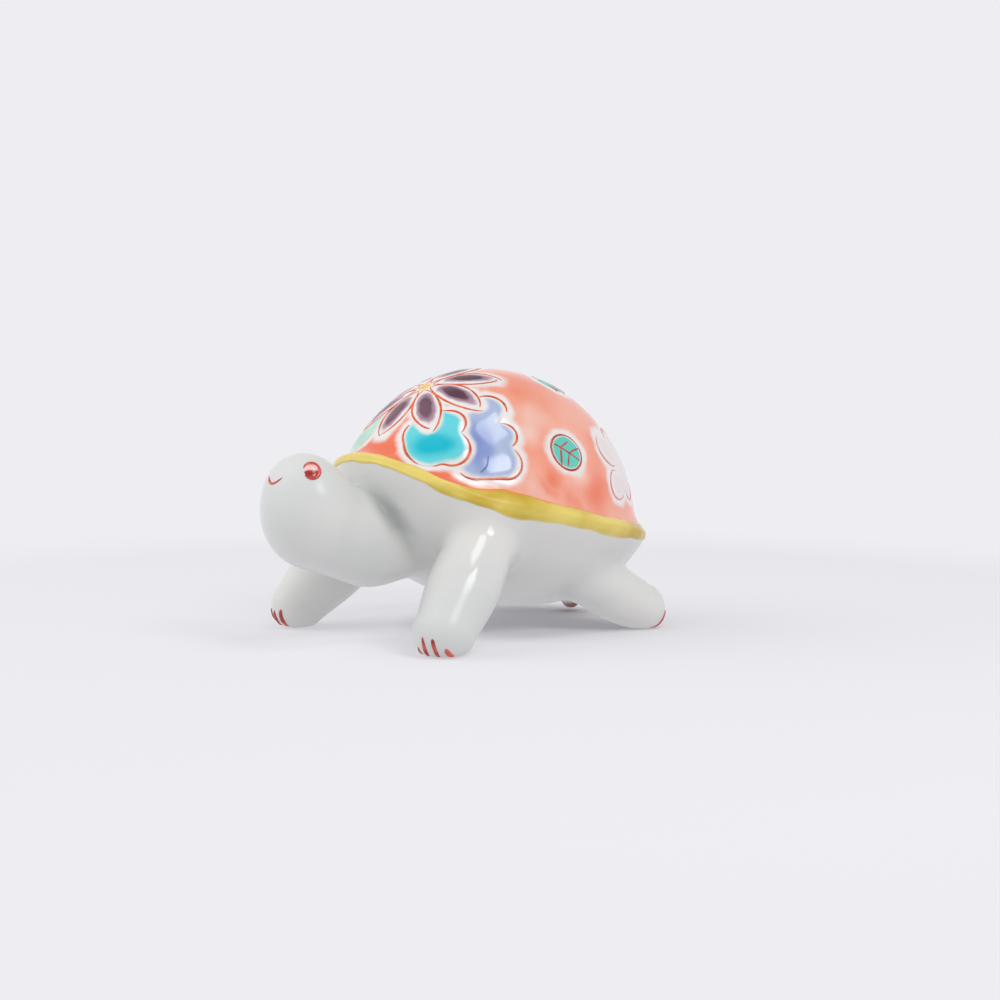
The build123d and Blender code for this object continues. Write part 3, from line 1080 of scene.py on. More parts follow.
def make_glaze_group():
    """Wavy gloss over a colour: slow waves, fine orange peel and rare dark specks."""
    inputs = {"Color": "Color", "Waviness": "Float", "Dullness": "Float"}
    outputs = {"Color": "Color", "Roughness": "Float", "Normal": "Vector"}
    tree, given, result = start_group("wavy_glaze", "ShaderNodeTree", inputs, outputs)
    slow = noise(tree, WAVE_SCALE)
    height = slow + noise(tree, PEEL_SCALE, 1.0) * PEEL_SHARE
    bump = add_node(tree, "ShaderNodeBump", Height=height, Strength=given["Waviness"], Distance=WAVE_DEPTH)
    cells = add_node(tree, "ShaderNodeTexVoronoi", Vector=object_places(tree), Scale=SPECK_SCALE)
    dot = 1.0 - Wire(tree, cells.outputs["Distance"]).ramp(*SPECK_EDGE)
    rare = noise(tree, SPECK_SCALE / 6).ramp(*SPECK_RARITY)
    roughness = slow * ROUGHNESS_RANGE + LEAST_ROUGHNESS + given["Dullness"]
    feed(tree, result["Color"], (dot * rare * SPECK_STRENGTH).mix(given["Color"], SPECK_COLOUR))
    feed(tree, result["Roughness"], roughness)
    feed(tree, result["Normal"], bump.outputs["Normal"])
    return tree


def make_wash_group():
    """Watercolour: a thin and a dense colour in soft clouds and brush streaks."""
    inputs = {"Thin": "Color", "Dense": "Color", "Cloud Scale": "Float"}
    tree, given, result = start_group("watercolour_wash", "ShaderNodeTree", inputs, {"Color": "Color"})
    stretched = add_node(tree, "ShaderNodeMapping", Vector=object_places(tree))
    stretched.inputs["Scale"].default_value = STREAK_STRETCH
    stretched.inputs["Rotation"].default_value = STREAK_TURN
    clouds = noise(tree, given["Cloud Scale"], 3.0)
    streaks = noise(tree, given["Cloud Scale"], 4.0, stretched.outputs[0])
    density = (clouds + streaks).ramp(*DENSITY_RANGE)
    feed(tree, result["Color"], density.mix(given["Thin"], given["Dense"]))
    return tree


glaze_group = make_glaze_group()
wash_group = make_wash_group()
print("shader groups:", glaze_group.name, wash_group.name)

# %% Material helpers
GLAZE_IOR = 1.5
WAVINESS = 0.12
SATIN_LEVEL = 0.258
COAT_ROUGHNESS = 0.13


def srgb(red, green, blue):
    """A colour as a screen shows it, 0 to 255, turned to Blender's linear values."""
    linear = []
    for part in (red / 255, green / 255, blue / 255):
        linear.append(part / 12.92 if part <= 0.04045 else ((part + 0.055) / 1.055) ** 2.4)
    return (*linear, 1.0)


def piece_value(tree, name):
    """A number stored at the piece's vertices."""
    return Wire(tree, add_node(tree, "ShaderNodeAttribute", {"attribute_name": name}).outputs["Fac"])


def wash(tree, thin, dense, cloud_scale):
    """The watercolour group's colour in a material."""
    node = add_node(tree, "ShaderNodeGroup", {"node_tree": wash_group}, Thin=thin, Dense=dense)
    node.inputs["Cloud Scale"].default_value = cloud_scale
    return node.outputs["Color"]


def empty_tree(owner):
    """The tree of a material or a world, with nothing in it yet."""
    owner.use_nodes = True
    owner.node_tree.nodes.clear()
    return owner.node_tree


def glossy_material(name, paint, waviness=WAVINESS, dull=None, wet=None):
    """A glazed material; paint, dull and wet return its colour, dullness and the weight of its wet coat."""
    material = bpy.data.materials.new(name)
    tree = empty_tree(material)
    glaze = add_node(tree, "ShaderNodeGroup", {"node_tree": glaze_group}, Color=paint(tree))
    glaze.inputs["Waviness"].default_value = waviness
    shader = add_node(tree, "ShaderNodeBsdfPrincipled", Base_Color=glaze.outputs["Color"], IOR=GLAZE_IOR)
    feed(tree, shader.inputs["Roughness"], glaze.outputs["Roughness"])
    feed(tree, shader.inputs["Normal"], glaze.outputs["Normal"])
    if dull:
        feed(tree, glaze.inputs["Dullness"], dull(tree))
        shader.inputs["Specular IOR Level"].default_value = SATIN_LEVEL
    if wet:
        feed(tree, shader.inputs["Coat Weight"], wet(tree))
        shader.inputs["Coat Roughness"].default_value = COAT_ROUGHNESS
    add_node(tree, "ShaderNodeOutputMaterial", Surface=shader.outputs["BSDF"])
    return material


# %% White porcelain
GLAZE_WHITE = srgb(215, 214, 211)
GLAZE_COOL = srgb(208, 210, 208)
# The crease colour is celadon glaze where it pools, darkened as a painted shade.
GLAZE_POOLED_SHADE = srgb(150, 156, 153)
GLAZE_CLOUDS = 45.0
POOL_SHADE_RANGE = (0.05, 0.90)
POOL_SHADE_STRENGTH = 0.9
SATIN = 0.11
WET_COAT = 0.48
TIP_BROWN = srgb(120, 52, 40)
TIP_FADE = (2.6, 5.6)
TIP_WAVER = (400.0, 2.0)


def paint_porcelain(tree):
    """White glaze with faint cool clouds, which turns a darker celadon in the creases: glaze that pools
    there, and a painted shade.
    """
    pooled_and_shaded = piece_value(tree, "pooling_and_shade").ramp(*POOL_SHADE_RANGE) * POOL_SHADE_STRENGTH
    return pooled_and_shaded.mix(wash(tree, GLAZE_WHITE, GLAZE_COOL, GLAZE_CLOUDS), GLAZE_POOLED_SHADE)


def paint_tail(tree):
    """The same glaze, with the tip touched in brown."""
    reach = piece_value(tree, "from_tip") + waver(tree, *TIP_WAVER)
    return reach.ramp(*TIP_FADE).mix(TIP_BROWN, paint_porcelain(tree))


def satin_share(tree):
    """Satin glaze away from the legs."""
    return (1.0 - piece_value(tree, "gloss")) * SATIN


def wet_share(tree):
    """A wet-looking coat high on the legs."""
    return piece_value(tree, "gloss") * WET_COAT


tail_mesh = castings["tail"].data
set_value(tail_mesh, "from_tip", np.linalg.norm(mesh_places(tail_mesh) - TAIL_TIP, axis=1))
tail_glaze = glossy_material("brown_tipped_glaze", paint_tail, dull=satin_share, wet=wet_share)
porcelain = glossy_material("white_porcelain_glaze", paint_porcelain, dull=satin_share, wet=wet_share)
print("material:", porcelain.name)

# %% Coral carapace
RESERVE_WHITE = srgb(226, 222, 220)
CORAL_THIN = srgb(238, 172, 152)
CORAL_DENSE = srgb(234, 152, 127)
CORAL_STRONG = srgb(230, 112, 78)
# The pale patches are a paler coral, set where the tone is below 0.
CORAL_PALE_PATCHES = srgb(234, 200, 188)
LOW_RANGE = (2.0, 10.0)
BLOTCH_RANGE = (0.46, 0.78)
FRONT_RANGE = (-0.018, -0.004)
FRONT_STRENGTH = 0.95
REAR_RANGE = (0.012, 0.034)
REAR_STRENGTH = 0.3
RESERVE_FADE = (0.7, 2.2)
CORAL_CLOUD_SCALE = 55.0
BLOTCHES = (75.0, 3.0)
CORAL_WAVER = (240.0, 2.0)
TONE_WAVER = 0.2


def paint_carapace(tree):
    """Coral wash that stops short of every motif and leaves a soft white reserve."""
    low = 1.0 - piece_value(tree, "above_rim").ramp(*LOW_RANGE)
    along = object_places(tree).part("Y")
    front = (1.0 - along.ramp(*FRONT_RANGE)) * FRONT_STRENGTH
    rear = along.ramp(*REAR_RANGE) * REAR_STRENGTH
    strong = (low * noise(tree, *BLOTCHES).ramp(*BLOTCH_RANGE)).at_least(front).at_least(rear)
    uneven = waver(tree, *CORAL_WAVER)
    tone = piece_value(tree, "tone") + uneven * TONE_WAVER
    coral = wash(tree, CORAL_THIN, CORAL_DENSE, CORAL_CLOUD_SCALE)
    coral = strong.at_least(tone).mix(coral, CORAL_STRONG)
    coral = (tone * -1.0).mix(coral, CORAL_PALE_PATCHES)
    return (piece_value(tree, "reserve") + uneven).ramp(*RESERVE_FADE).mix(RESERVE_WHITE, coral)


coral_glaze = glossy_material("coral_washed_glaze", paint_carapace)
print("material:", coral_glaze.name)

# %% Enamel colours
CORE_MIX_SHARE = 0.3
ENAMEL_CLOUDS = 90.0
LINE_CLOUDS = 420.0
FIELD_WAVER = (300.0, 1.2)
BLOSSOM_WAVER = (300.0, 0.8)
BLOSSOM_EDGE = (0.25, 1.35)
BLOSSOM_CORE = (-0.3, 0.5)
BLOSSOM_COLOURS = {
    "turquoise": ((0, 178, 198), (96, 204, 212)),
    "lavender": ((124, 142, 196), (166, 180, 210)),
    "pale": ((222, 217, 216), (224, 212, 211)),
    "green": ((150, 206, 184), (178, 214, 198)),
}
FIELD_COLOURS = {
    "leaf": ((84, 192, 178), (124, 202, 188), 0.1, 0.9),
    "purple": ((78, 46, 62), (164, 132, 148), -0.5, 0.7),
    "yellow_heart": ((222, 186, 84), (230, 206, 140), 0.1, 0.9),
}
LINE_COLOURS = {
    "iron_red_line": ((226, 112, 64), (192, 68, 42)),
    "leaf_red_line": ((194, 80, 60), (150, 44, 36)),
    "claw_red_paint": ((206, 90, 74), (152, 38, 32)),
    "pale_pink_line": ((226, 158, 156), (212, 124, 128)),
    # The blue line is a painted reflection: the dark edge of a window's reflection in the lavender enamel,
    # drawn as a stroke.
    "blue_vein_line": ((112, 130, 180), (92, 112, 168)),
}


def deep_wash(tree, deep, light):
    """The clouded colour in the middle of an enamel."""
    lighter = tuple(np.array(deep) + CORE_MIX_SHARE * (np.array(light) - np.array(deep)))
    return wash(tree, deep, lighter, ENAMEL_CLOUDS)


def paint_field(tree, core, middle, start, end):
    """An enamel field: the core colour fades through the middle colour to the white glaze."""
    depth = piece_value(tree, "inside") + waver(tree, *FIELD_WAVER)
    halfway = (start + end) / 2
    pale = depth.ramp(start, halfway).mix(RESERVE_WHITE, middle)
    return depth.ramp(halfway, end).mix(pale, deep_wash(tree, core, middle))


def paint_blossom(tree, deep, light):
    """A blossom: the white glaze at its edge, then the light colour, and the deep one at its core."""
    uneven = waver(tree, *BLOSSOM_WAVER)
    edge = (piece_value(tree, "inside") + uneven).ramp(*BLOSSOM_EDGE)
    core = (piece_value(tree, "core") + uneven * 0.5).ramp(*BLOSSOM_CORE)
    return edge.mix(RESERVE_WHITE, core.mix(light, deep_wash(tree, deep, light)))


enamels = {}
for name, (deep, light) in BLOSSOM_COLOURS.items():
    colours = (srgb(*deep), srgb(*light))
    enamels[name] = glossy_material(name + "_enamel", lambda tree: paint_blossom(tree, *colours))
for name, (core, middle, *fade) in FIELD_COLOURS.items():
    colours = (srgb(*core), srgb(*middle))
    enamels[name] = glossy_material(name + "_enamel", lambda tree: paint_field(tree, *colours, *fade))
for name, (thin, dense) in LINE_COLOURS.items():
    colours = (srgb(*thin), srgb(*dense))
    enamels[name] = glossy_material(name, lambda tree: wash(tree, *colours, LINE_CLOUDS))
iron_red = enamels["iron_red_line"]
leaf_red = enamels["leaf_red_line"]
claw_red = enamels["claw_red_paint"]
print("enamels:", len(enamels), "with the line colours")

# %% [markdown]
# ## Enamel fields on the dome
#
# Each field is a thin lens: thickest in the middle, and flush with the glaze at its edge, so that no
# step shows there. The number stored at its vertices is the distance from the edge, which the material
# turns into a fading colour.

# %% Draw a flat field
FIELD_RINGS = 18
FIELD_SPOKES = 180
FIELD_DEPTH = 0.5
EDGE_DIP = 0.06


def flat_field(name, outline, thickness, tall_share=1.0):
    """A flat lens about the origin, whose edge is given by a distance at each angle."""
    angles = all_round(FIELD_SPOKES)
    edge = np.broadcast_to(outline(angles), angles.shape)
    rows = []
    inside = []
    for share in np.linspace(0.0, 1.0, FIELD_RINGS + 1)[1:]:
        height = np.full(angles.shape, thickness * (1.0 - share**3) - EDGE_DIP * share**3)
        upwards = tall_share * edge * share * np.sin(angles)
        rows.append(np.stack((edge * share * np.cos(angles), upwards, height), axis=1))
        inside.append(edge * (1.0 - share))
    under = rows[-1].copy()
    under[:, 2] = -FIELD_DEPTH
    rows.append(under)
    inside.append(np.zeros(FIELD_SPOKES))
    mesh = new_mesh(name, *capped(rows, thickness * UPRIGHT, -FIELD_DEPTH * UPRIGHT))
    set_value(mesh, "inside", np.concatenate((*inside, (edge.mean(), 0.0))))
    return mesh


# %% Blossoms and roundels
BLOSSOM_THICKNESS = 0.3
LENS_EDGE = 2.2
SINK = 0.3
SINK_STEEPNESS = 4
ROUNDEL_THICKNESS = 0.16
FIELD_GAP = 0.2
FILL_MARGIN = 0.35
COVERED_BY = {"lavender_blossom": "turquoise_blossom", "right_lavender_blossom": "green_blossom"}
CORES = {
    "turquoise_blossom": (-0.9, -1.3, 4.8, 2.8),
    "lavender_blossom": (-0.8, -2.2, 3.0, 6.4),
    "pale_blossom": (0.0, 0.0, 5.0, 5.0),
}


def cover_gap(name, points):
    """Distance from places on the dome to what lies over a blossom: the petals and the blossom in front."""
    gap = motif_gap(points, *FLOWER_PLACE, petal_distance)
    if name in COVERED_BY:
        gap = np.minimum(gap, blossom_gap(COVERED_BY[name], points))
    return gap


def core_share(name, places):
    """1 in the middle of a blossom's deeper core, 0 at the core's edge and less beyond."""
    x, y, half_width, half_height = CORES[TWINS.get(name, name)]
    return 1.0 - np.hypot((places[:, 0] - side_of(name) * x) / half_width, (places[:, 1] - y) / half_height)


def blossom_field(name):
    """A blossom's lens, which sinks out of sight where something else covers it."""
    mesh = flat_field(name, lambda angles: blossom_radius(name, angles), BLOSSOM_THICKNESS)
    places = mesh_places(mesh)
    upper = places[:, 2] > -FIELD_DEPTH / 2
    over = cover_gap(name, dome_points(*BLOSSOMS[name], places[:, 0], places[:, 1]))
    own = -lobe_distance(name, places[:, 0], places[:, 1], FILL_BLEND)
    inside = np.minimum(own - FILL_MARGIN, over - FIELD_GAP)
    share = np.clip(inside / LENS_EDGE, 0.0, 1.0)
    sunk = SINK * np.clip(-inside / LENS_EDGE * SINK_STEEPNESS, 0.0, 1.0)
    height = BLOSSOM_THICKNESS * share * (2.0 - share) - EDGE_DIP - sunk
    places[upper, 2] = height[upper]
    move_to(mesh, places)
    set_value(mesh, "inside", inside)
    set_value(mesh, "core", core_share(name, places))
    return mesh


def lay_field(name, flat, place, enamel, tree=field_tree, **values):
    """Lay an enamel field on the dome."""
    return lay("enamel_" + name, flat, tree, place, BRIM_REACH, Material=enamels[enamel], **values)


pieces = {}
for name, place in BLOSSOMS.items():
    colour = name.split("_")[-2]
    pieces[name] = lay_field(name, blossom_field(name), dome_place(*place), colour)
for name, (azimuth, elevation, radius) in ROUNDELS.items():
    flat = flat_field(name, lambda angles: radius, ROUNDEL_THICKNESS)
    pieces[name] = lay_field(name, flat, dome_place(azimuth, elevation), "leaf")
print("fields:", len(pieces))

# %% Chrysanthemum
PETAL_THICKNESS = 0.28
CORE_MIDDLE = 9.3
CORE_HALF_LENGTH = 4.4
CORE_HALF_WIDTH = 1.85


def petal_outline(angles):
    """How far a petal's edge is from its middle at each angle."""
    return 1.0 / np.hypot(np.cos(angles) / PETAL_HALF_LENGTH, np.sin(angles) / PETAL_HALF_WIDTH)


def flat_petal():
    """One petal's lens, lying along X from the heart outwards."""
    mesh = flat_field("petal", petal_outline, PETAL_THICKNESS)
    places = mesh_places(mesh)
    places[:, 0] += PETAL_MIDDLE
    core = 1.0 - np.hypot((places[:, 0] - CORE_MIDDLE) / CORE_HALF_LENGTH, places[:, 1] / CORE_HALF_WIDTH)
    set_value(mesh, "inside", core * CORE_HALF_WIDTH)
    move_to(mesh, places)
    return mesh


flower_place = dome_place(*FLOWER_PLACE)
petal_ring = {"Petals": PETALS, "Turn": math.radians(PETAL_TURN)}
pieces["chrysanthemum_petals"] = lay_field(
    "chrysanthemum_petals", flat_petal(), flower_place, "purple", petal_tree, **petal_ring
)
heart = flat_field("heart", lambda angles: HEART_RADIUS, PETAL_THICKNESS)
pieces["chrysanthemum_heart"] = lay_field("chrysanthemum_heart", heart, flower_place, "yellow_heart")
print("petals:", PETALS)

# %% [markdown]
# ## Brush lines
#
# The painter drew round each motif with a fine brush in iron red. A path is a list of flat points from
# the motif's own formula, broken into strokes as a hand breaks them, and the brush tree gives it body.

# %% Draw paths
LINE_WIDTH = 0.55
LINE_DRIFT = 0.12
SHORTEST_STROKE = 6
# The next three numbers are for the dark blue stroke on the lavender blossoms, a painted reflection of a
# window's edge.
REFLECTION_STROKE_WIDTH = 0.4
REFLECTION_STROKE_LIFT = 0.26
REFLECTION_STROKE_SEED = 40.0
STROKES = {
    "turquoise_blossom": ((92.0, 23.0), (22.0, -94.0), (148.0, 240.0)),
    "lavender_blossom": ((88.0, 50.0), (44.0, -21.0), (-22.0, -126.0)),
    "green_blossom": ((92.0, 23.0), (22.0, -50.0)),
}
PALE_ARCS = ((1, 115.0, 283.0), (2, 50.0, 312.0), (4, 208.0, 374.0), (5, -104.0, 88.0), (6, -28.0, 158.0))


def path_mesh(name, strokes):
    """Bare edges along flat strokes, each a list of places in millimetres."""
    vertices = []
    edges = []
    for stroke in strokes:
        first = len(vertices)
        vertices += [(x, y, 0.0) for x, y in stroke]
        edges += [(index, index + 1) for index in range(first, len(vertices) - 1)]
    return new_mesh(name, vertices, [], edges)


def drift(angles, number):
    """How far a hand-drawn line strays from its outline."""
    return LINE_DRIFT * np.sin(3.0 * angles + 5.0 * number)


def outline_strokes(name):
    """The strokes round a blossom, between listed angles, up to whatever lies over it."""
    strokes = []
    for index, ends in enumerate(STROKES.get(name) or STROKES[TWINS[name]]):
        angles = np.radians(np.linspace(*ends, 120))
        angles = math.pi - angles if name in TWINS else angles
        distance = blossom_radius(name, angles) + drift(angles, index)
        x = distance * np.cos(angles)
        y = distance * np.sin(angles)
        shown = cover_gap(name, dome_points(*BLOSSOMS[name], x, y)) > 0.0
        strokes.append(list(zip(x[shown], y[shown])))
    return [stroke for stroke in strokes if len(stroke) > SHORTEST_STROKE]


def arc_strokes(name):
    """The strokes round a pale blossom, one along the outer edge of each of its large discs."""
    strokes = []
    for lobe, start, end in PALE_ARCS:
        x, y, radius = LOBES["pale_blossom"][lobe]
        angles = np.radians(np.linspace(start, end, 60))
        distance = radius + drift(angles, lobe)
        x = side_of(name) * (x + distance * np.cos(angles))
        strokes.append(list(zip(x, y + distance * np.sin(angles))))
    return strokes


def painted_reflection_stroke(name):
    """One bent dark stroke down a lavender blossom's core: a painted reflection of a window's edge in the
    enamel.
    """
    share = np.linspace(0.0, 1.0, 16)
    return [list(zip(side_of(name) * (0.5 - 0.5 * share - 1.5 * share**4), -4.3 - 3.5 * share))]


def draw(name, strokes, place, material, width=LINE_WIDTH, lift=0.0, seed=0.0, brim_reach=0.0):
    """Lay brush strokes on a form."""
    settings = {"Width": width * MM, "Lift": lift * MM, "Seed": seed, "Material": material}
    return lay("line_" + name, path_mesh(name, strokes), brush_tree, place, brim_reach, **settings)


lines = {}


def draw_on_dome(name, strokes, place, material, *brush):
    """Lay brush strokes on the carapace, with a width, lift and seed, and list them."""
    lines[name] = draw(name, strokes, place, material, *brush, brim_reach=BRIM_REACH)


for seed, name in enumerate(BLOSSOMS):
    pale = "pale" in name
    material = enamels["pale_pink_line"] if pale else iron_red
    strokes = arc_strokes(name) if pale else outline_strokes(name)
    place = dome_place(*BLOSSOMS[name])
    draw_on_dome(name, strokes, place, material, LINE_WIDTH, 0.0, float(seed))
    # A dark blue stroke down each lavender blossom is a painted reflection of a window's edge.
    if "lavender" in name:
        brush = (REFLECTION_STROKE_WIDTH, REFLECTION_STROKE_LIFT, REFLECTION_STROKE_SEED)
        draw_on_dome(name + "_painted_reflection", painted_reflection_stroke(name), place, enamels["blue_vein_line"], *brush)
print("outlined blossoms:", len(BLOSSOMS))

# %% Petal outlines and leaf veins
PETAL_LINE_WIDTH = 0.5
PETAL_LINE_SEED = 7.0
PETAL_LINE_SPREAD = 1.1
PETAL_LINE_LENGTH = 1.04
ROUNDEL_LINE_WIDTH = 0.54
ROUNDEL_LINE_SEED = 11.0
FULL_RING = (0.3, 2 * math.pi + 0.5)
TOP_RING = (-1.7, 1.5)
LEAF_VEIN_WIDTH = 0.46
LEAF_VEIN_SEED = 15.0
LEAF_VEIN_LIFT = 0.12
TOP_VEIN_LIFT = 0.06
VEIN_LEAN = math.radians(-36.0)
VEIN_REACH_SHARE = 0.85
BRANCHES = ((-0.46, 60.0, 0.74), (-0.46, -70.0, 1.0), (0.10, 52.0, 0.84), (0.10, -78.0, 0.76))


def petal_strokes():
    """Two curved strokes for each petal, from the heart to the tip."""
    strokes = []
    reach = PETAL_MIDDLE + PETAL_HALF_LENGTH * PETAL_LINE_LENGTH - HEART_RADIUS
    share = np.linspace(0.0, 1.0, 30)
    bulge = np.sin(math.pi * share**1.2) ** 0.65
    for index, turn in enumerate(petal_turns()):
        for side in (1.0, -1.0):
            tip = 1.0 - 0.05 * math.sin(2.3 * index + side)
            along = HEART_RADIUS + reach * share * tip
            beside = side * PETAL_LINE_SPREAD * PETAL_HALF_WIDTH * bulge
            x = along * math.cos(turn) - beside * math.sin(turn)
            y = along * math.sin(turn) + beside * math.cos(turn)
            strokes.append(list(zip(x, y)))
    return strokes


def ring_stroke(radius, start, end):
    """One stroke that goes round and overlaps its own start, or stops short of it."""
    angles = np.linspace(start, end, 60)
    return list(zip(radius * np.cos(angles), radius * np.sin(angles)))


def vein_strokes(radius):
    """A leaf's slanting main vein, with branches to both sides at two forks."""
    main = np.array((math.cos(VEIN_LEAN), math.sin(VEIN_LEAN)))
    strokes = [[tuple(main * VEIN_REACH_SHARE * radius * share) for share in np.linspace(-1.0, 1.0, 20)]]
    for fork, lean, reach in BRANCHES:
        turn = VEIN_LEAN + math.radians(lean)
        branch = np.array((math.cos(turn), math.sin(turn)))
        steps = np.linspace(0.0, reach, 10)
        strokes.append([tuple((main * fork + branch * step) * radius) for step in steps])
    return strokes


brush = (PETAL_LINE_WIDTH, 0.0, PETAL_LINE_SEED)
draw_on_dome("chrysanthemum_petals", petal_strokes(), flower_place, iron_red, *brush)
for seed, (name, (azimuth, elevation, radius)) in enumerate(ROUNDELS.items()):
    place = dome_place(azimuth, elevation)
    top = name.startswith("top")
    stroke = ring_stroke(radius, *(TOP_RING if top else FULL_RING))
    draw_on_dome(name, [stroke], place, leaf_red, ROUNDEL_LINE_WIDTH, 0.0, ROUNDEL_LINE_SEED + seed)
    brush = (LEAF_VEIN_WIDTH, TOP_VEIN_LIFT if top else LEAF_VEIN_LIFT, LEAF_VEIN_SEED + seed)
    draw_on_dome(name + "_veins", vein_strokes(radius), place, leaf_red, *brush)
print("line sets:", len(lines))

# %% [markdown]
# ## The yellow rim band
#
# A broad brush ran round the brim with a golden yellow. The band hugs the flare and the lip, and its
# upper edge wanders. It follows the same meridians as the carapace, raised by a thin layer that runs out
# to nothing at both edges.

# %% Rim band
BAND_COLUMNS = 420
BAND_ROWS = 14
BAND_LIP_ROWS = 4
BAND_DROP_ROWS = 8
BAND_THICKNESS = 0.26
BAND_DEPTH = 0.3
BAND_ROUNDS = 14
FIRST_DROP = 0.15
RUN_OUT = 5.0
RUN_OUT_POWER = 0.7
BAND_DIP = 0.05
WIDTH_AZIMUTHS = (0.0, 30.0, 40.0, 54.0, 66.0, 82.0, 106.0, 125.0, 180.0)
BAND_WIDTHS = (1.2, 1.1, 0.5, 1.6, 2.8, 1.2, 0.9, 1.2, 1.8)
WIDTH_WAVES = ((0.16, 13, 0.7), (0.10, 23, 2.6), (0.06, 41, 1.2))
DROP_AZIMUTHS = (0.0, 20.0, 30.0, 40.0, 53.0, 62.0, 69.0, 83.0, 92.0, 104.0, 130.0, 180.0)
BAND_DROPS = (0.6, 0.4, 0.6, 1.7, 0.9, 2.2, 2.8, 2.1, 2.2, 3.1, 1.5, 1.4)
DROP_WAVES = ((0.12, 17, 1.1), (0.10, 29, 0.5), (0.05, 47, 2.0))
EDGE_BLUR = np.radians((-5.0, -2.5, 0.0, 2.5, 5.0))
GOLD_THIN = srgb(226, 205, 112)
GOLD_DENSE = srgb(190, 159, 38)
GOLD_OVER_CORAL = srgb(226, 140, 78)
GOLD_CLOUDS = 70.0
BAND_WAVER = (260.0, 0.5)
UPPER_FADE = (-0.05, 0.28)
LOWER_FADE = (0.90, 0.99)


def hand_set(azimuth, places, sizes, waves):
    """Sizes set at a few azimuths, alike on both sides, run smoothly together and made uneven by waves."""
    total = np.zeros(azimuth.shape)
    for shift in EDGE_BLUR:
        turned = np.abs(np.degrees(np.arctan2(np.sin(azimuth + shift), np.cos(azimuth + shift))))
        total += np.interp(turned, places, sizes)
    uneven = sum(size * np.sin(count * azimuth + phase) for size, count, phase in waves)
    return total / len(EDGE_BLUR) + uneven


def band_width(azimuth):
    """How far the band reaches up the flare, in millimetres."""
    return hand_set(azimuth, WIDTH_AZIMUTHS, BAND_WIDTHS, WIDTH_WAVES)


def band_rows():
    """Rows of places under the band, from its upper edge over the lip to its lower edge."""
    azimuth = all_round(BAND_COLUMNS)
    lowest = rim_elevations(azimuth)
    rise = band_width(azimuth) / np.hypot(SHELL_HALF[1], SHELL_HALF[2]) * math.sqrt(2.0)
    rows = []
    for share in np.linspace(1.0, 0.0, BAND_ROWS):
        rows.append(flared(shell_points(azimuth, lowest + rise * share)))
    rows += lip_rows(rows[-1])[:BAND_LIP_ROWS]
    edge = rows[-1]
    drop = hand_set(azimuth, DROP_AZIMUTHS, BAND_DROPS, DROP_WAVES)
    for share in np.linspace(0.0, 1.0, BAND_DROP_ROWS + 1)[1:]:
        rows.append(slide(edge - (FIRST_DROP + drop * share)[:, None] * UPRIGHT))
    return np.stack(rows)


def make_rim_band():
    """The closed ring of enamel round the brim, thick enough to round off the step under the lip."""
    rows = band_rows()
    around = np.roll(rows, -1, axis=1) - np.roll(rows, 1, axis=1)
    normals = unit(np.cross(np.gradient(rows, axis=0), around))
    share = np.linspace(0.0, 1.0, len(rows))
    from_edge = np.clip(RUN_OUT * np.minimum(share, 1.0 - share), 0.0, 1.0)
    thickness = BAND_THICKNESS * from_edge**RUN_OUT_POWER - BAND_DIP
    outer = rows + thickness[:, None, None] * normals
    for _ in range(BAND_ROUNDS):
        outer[1:-1] = (outer[:-2] + 2.0 * outer[1:-1] + outer[2:]) / 4
        short = thickness[:, None] - ((outer - rows) * normals).sum(axis=-1)
        outer += np.maximum(short, 0.0)[..., None] * normals
    layers = np.concatenate((outer, (rows - BAND_DEPTH * normals)[::-1]))
    faces = ring_faces(len(layers), BAND_COLUMNS, closed=True)
    thing = new_object("enamel_rim_band", layers.reshape(-1, 3), faces)
    set_value(thing.data, "downwards", np.repeat(np.concatenate((share, share[::-1])), BAND_COLUMNS))
    return thing


def paint_band(tree):
    """Golden yellow, orange where it runs out over the coral and pale where it runs out on the body."""
    downwards = piece_value(tree, "downwards")
    gold = wash(tree, GOLD_THIN, GOLD_DENSE, GOLD_CLOUDS)
    body = (downwards + waver(tree, *BAND_WAVER)).ramp(*UPPER_FADE).mix(GOLD_OVER_CORAL, gold)
    return downwards.ramp(*LOWER_FADE).mix(body, GLAZE_WHITE)


pieces["rim_band"] = make_rim_band()
band_enamel = glossy_material("golden_band_enamel", paint_band, dull=lambda tree: SATIN)
pieces["rim_band"].data.materials.append(band_enamel)
print("band width from", round(float(band_width(np.linspace(0, 6.28, 200)).min()), 1), "mm")

# %% [markdown]
# ## Eyes, mouth and claws
#
# The face is three small touches: two raised beads ringed in red, with a red shade in the lower half,
# and a short smiling line. Each foot has a few upright strokes for claws, laid on the ball of the foot.

# %% Eyes and mouth
EYE_AZIMUTH = 64.0
EYE_ELEVATION = 45.0
EYE_SLIP = 8.0
EYE_HALF_WIDTH = 1.62
EYE_HALF_HEIGHT = 2.0
EYE_THICKNESS = 0.3
EYE_WAVINESS = 0.05
EYE_PINK = srgb(230, 196, 192)
EYE_SALMON = srgb(220, 122, 104)
EYE_RED_THIN = srgb(206, 88, 72)
EYE_RED_DENSE = srgb(156, 42, 38)
EYE_CLOUDS = 500.0
EYE_WAVER = (500.0, 0.4, 2.0)
SALMON_FADE = (-0.85, -0.45)
RED_FADE = (-0.05, 0.22)
EYE_RING = (-2.6, math.pi - 0.3, 50)
EYE_CRESCENT = (-2.2, 1.3, 30)
CRESCENT_SHARES = (0.93, 0.96)
EYE_LINE_LIFT = 0.04
EYE_LINE_SEED = 20.0
FACE_LINE_WIDTH = 0.62
MOUTH_ELEVATION = 31.0
MOUTH_AZIMUTH = -2.0
MOUTH_HALF_WIDTH = 2.4
MOUTH_DEPTH = 1.5
MOUTH_SEED = 23.0
SEAT_ROUNDS = 4


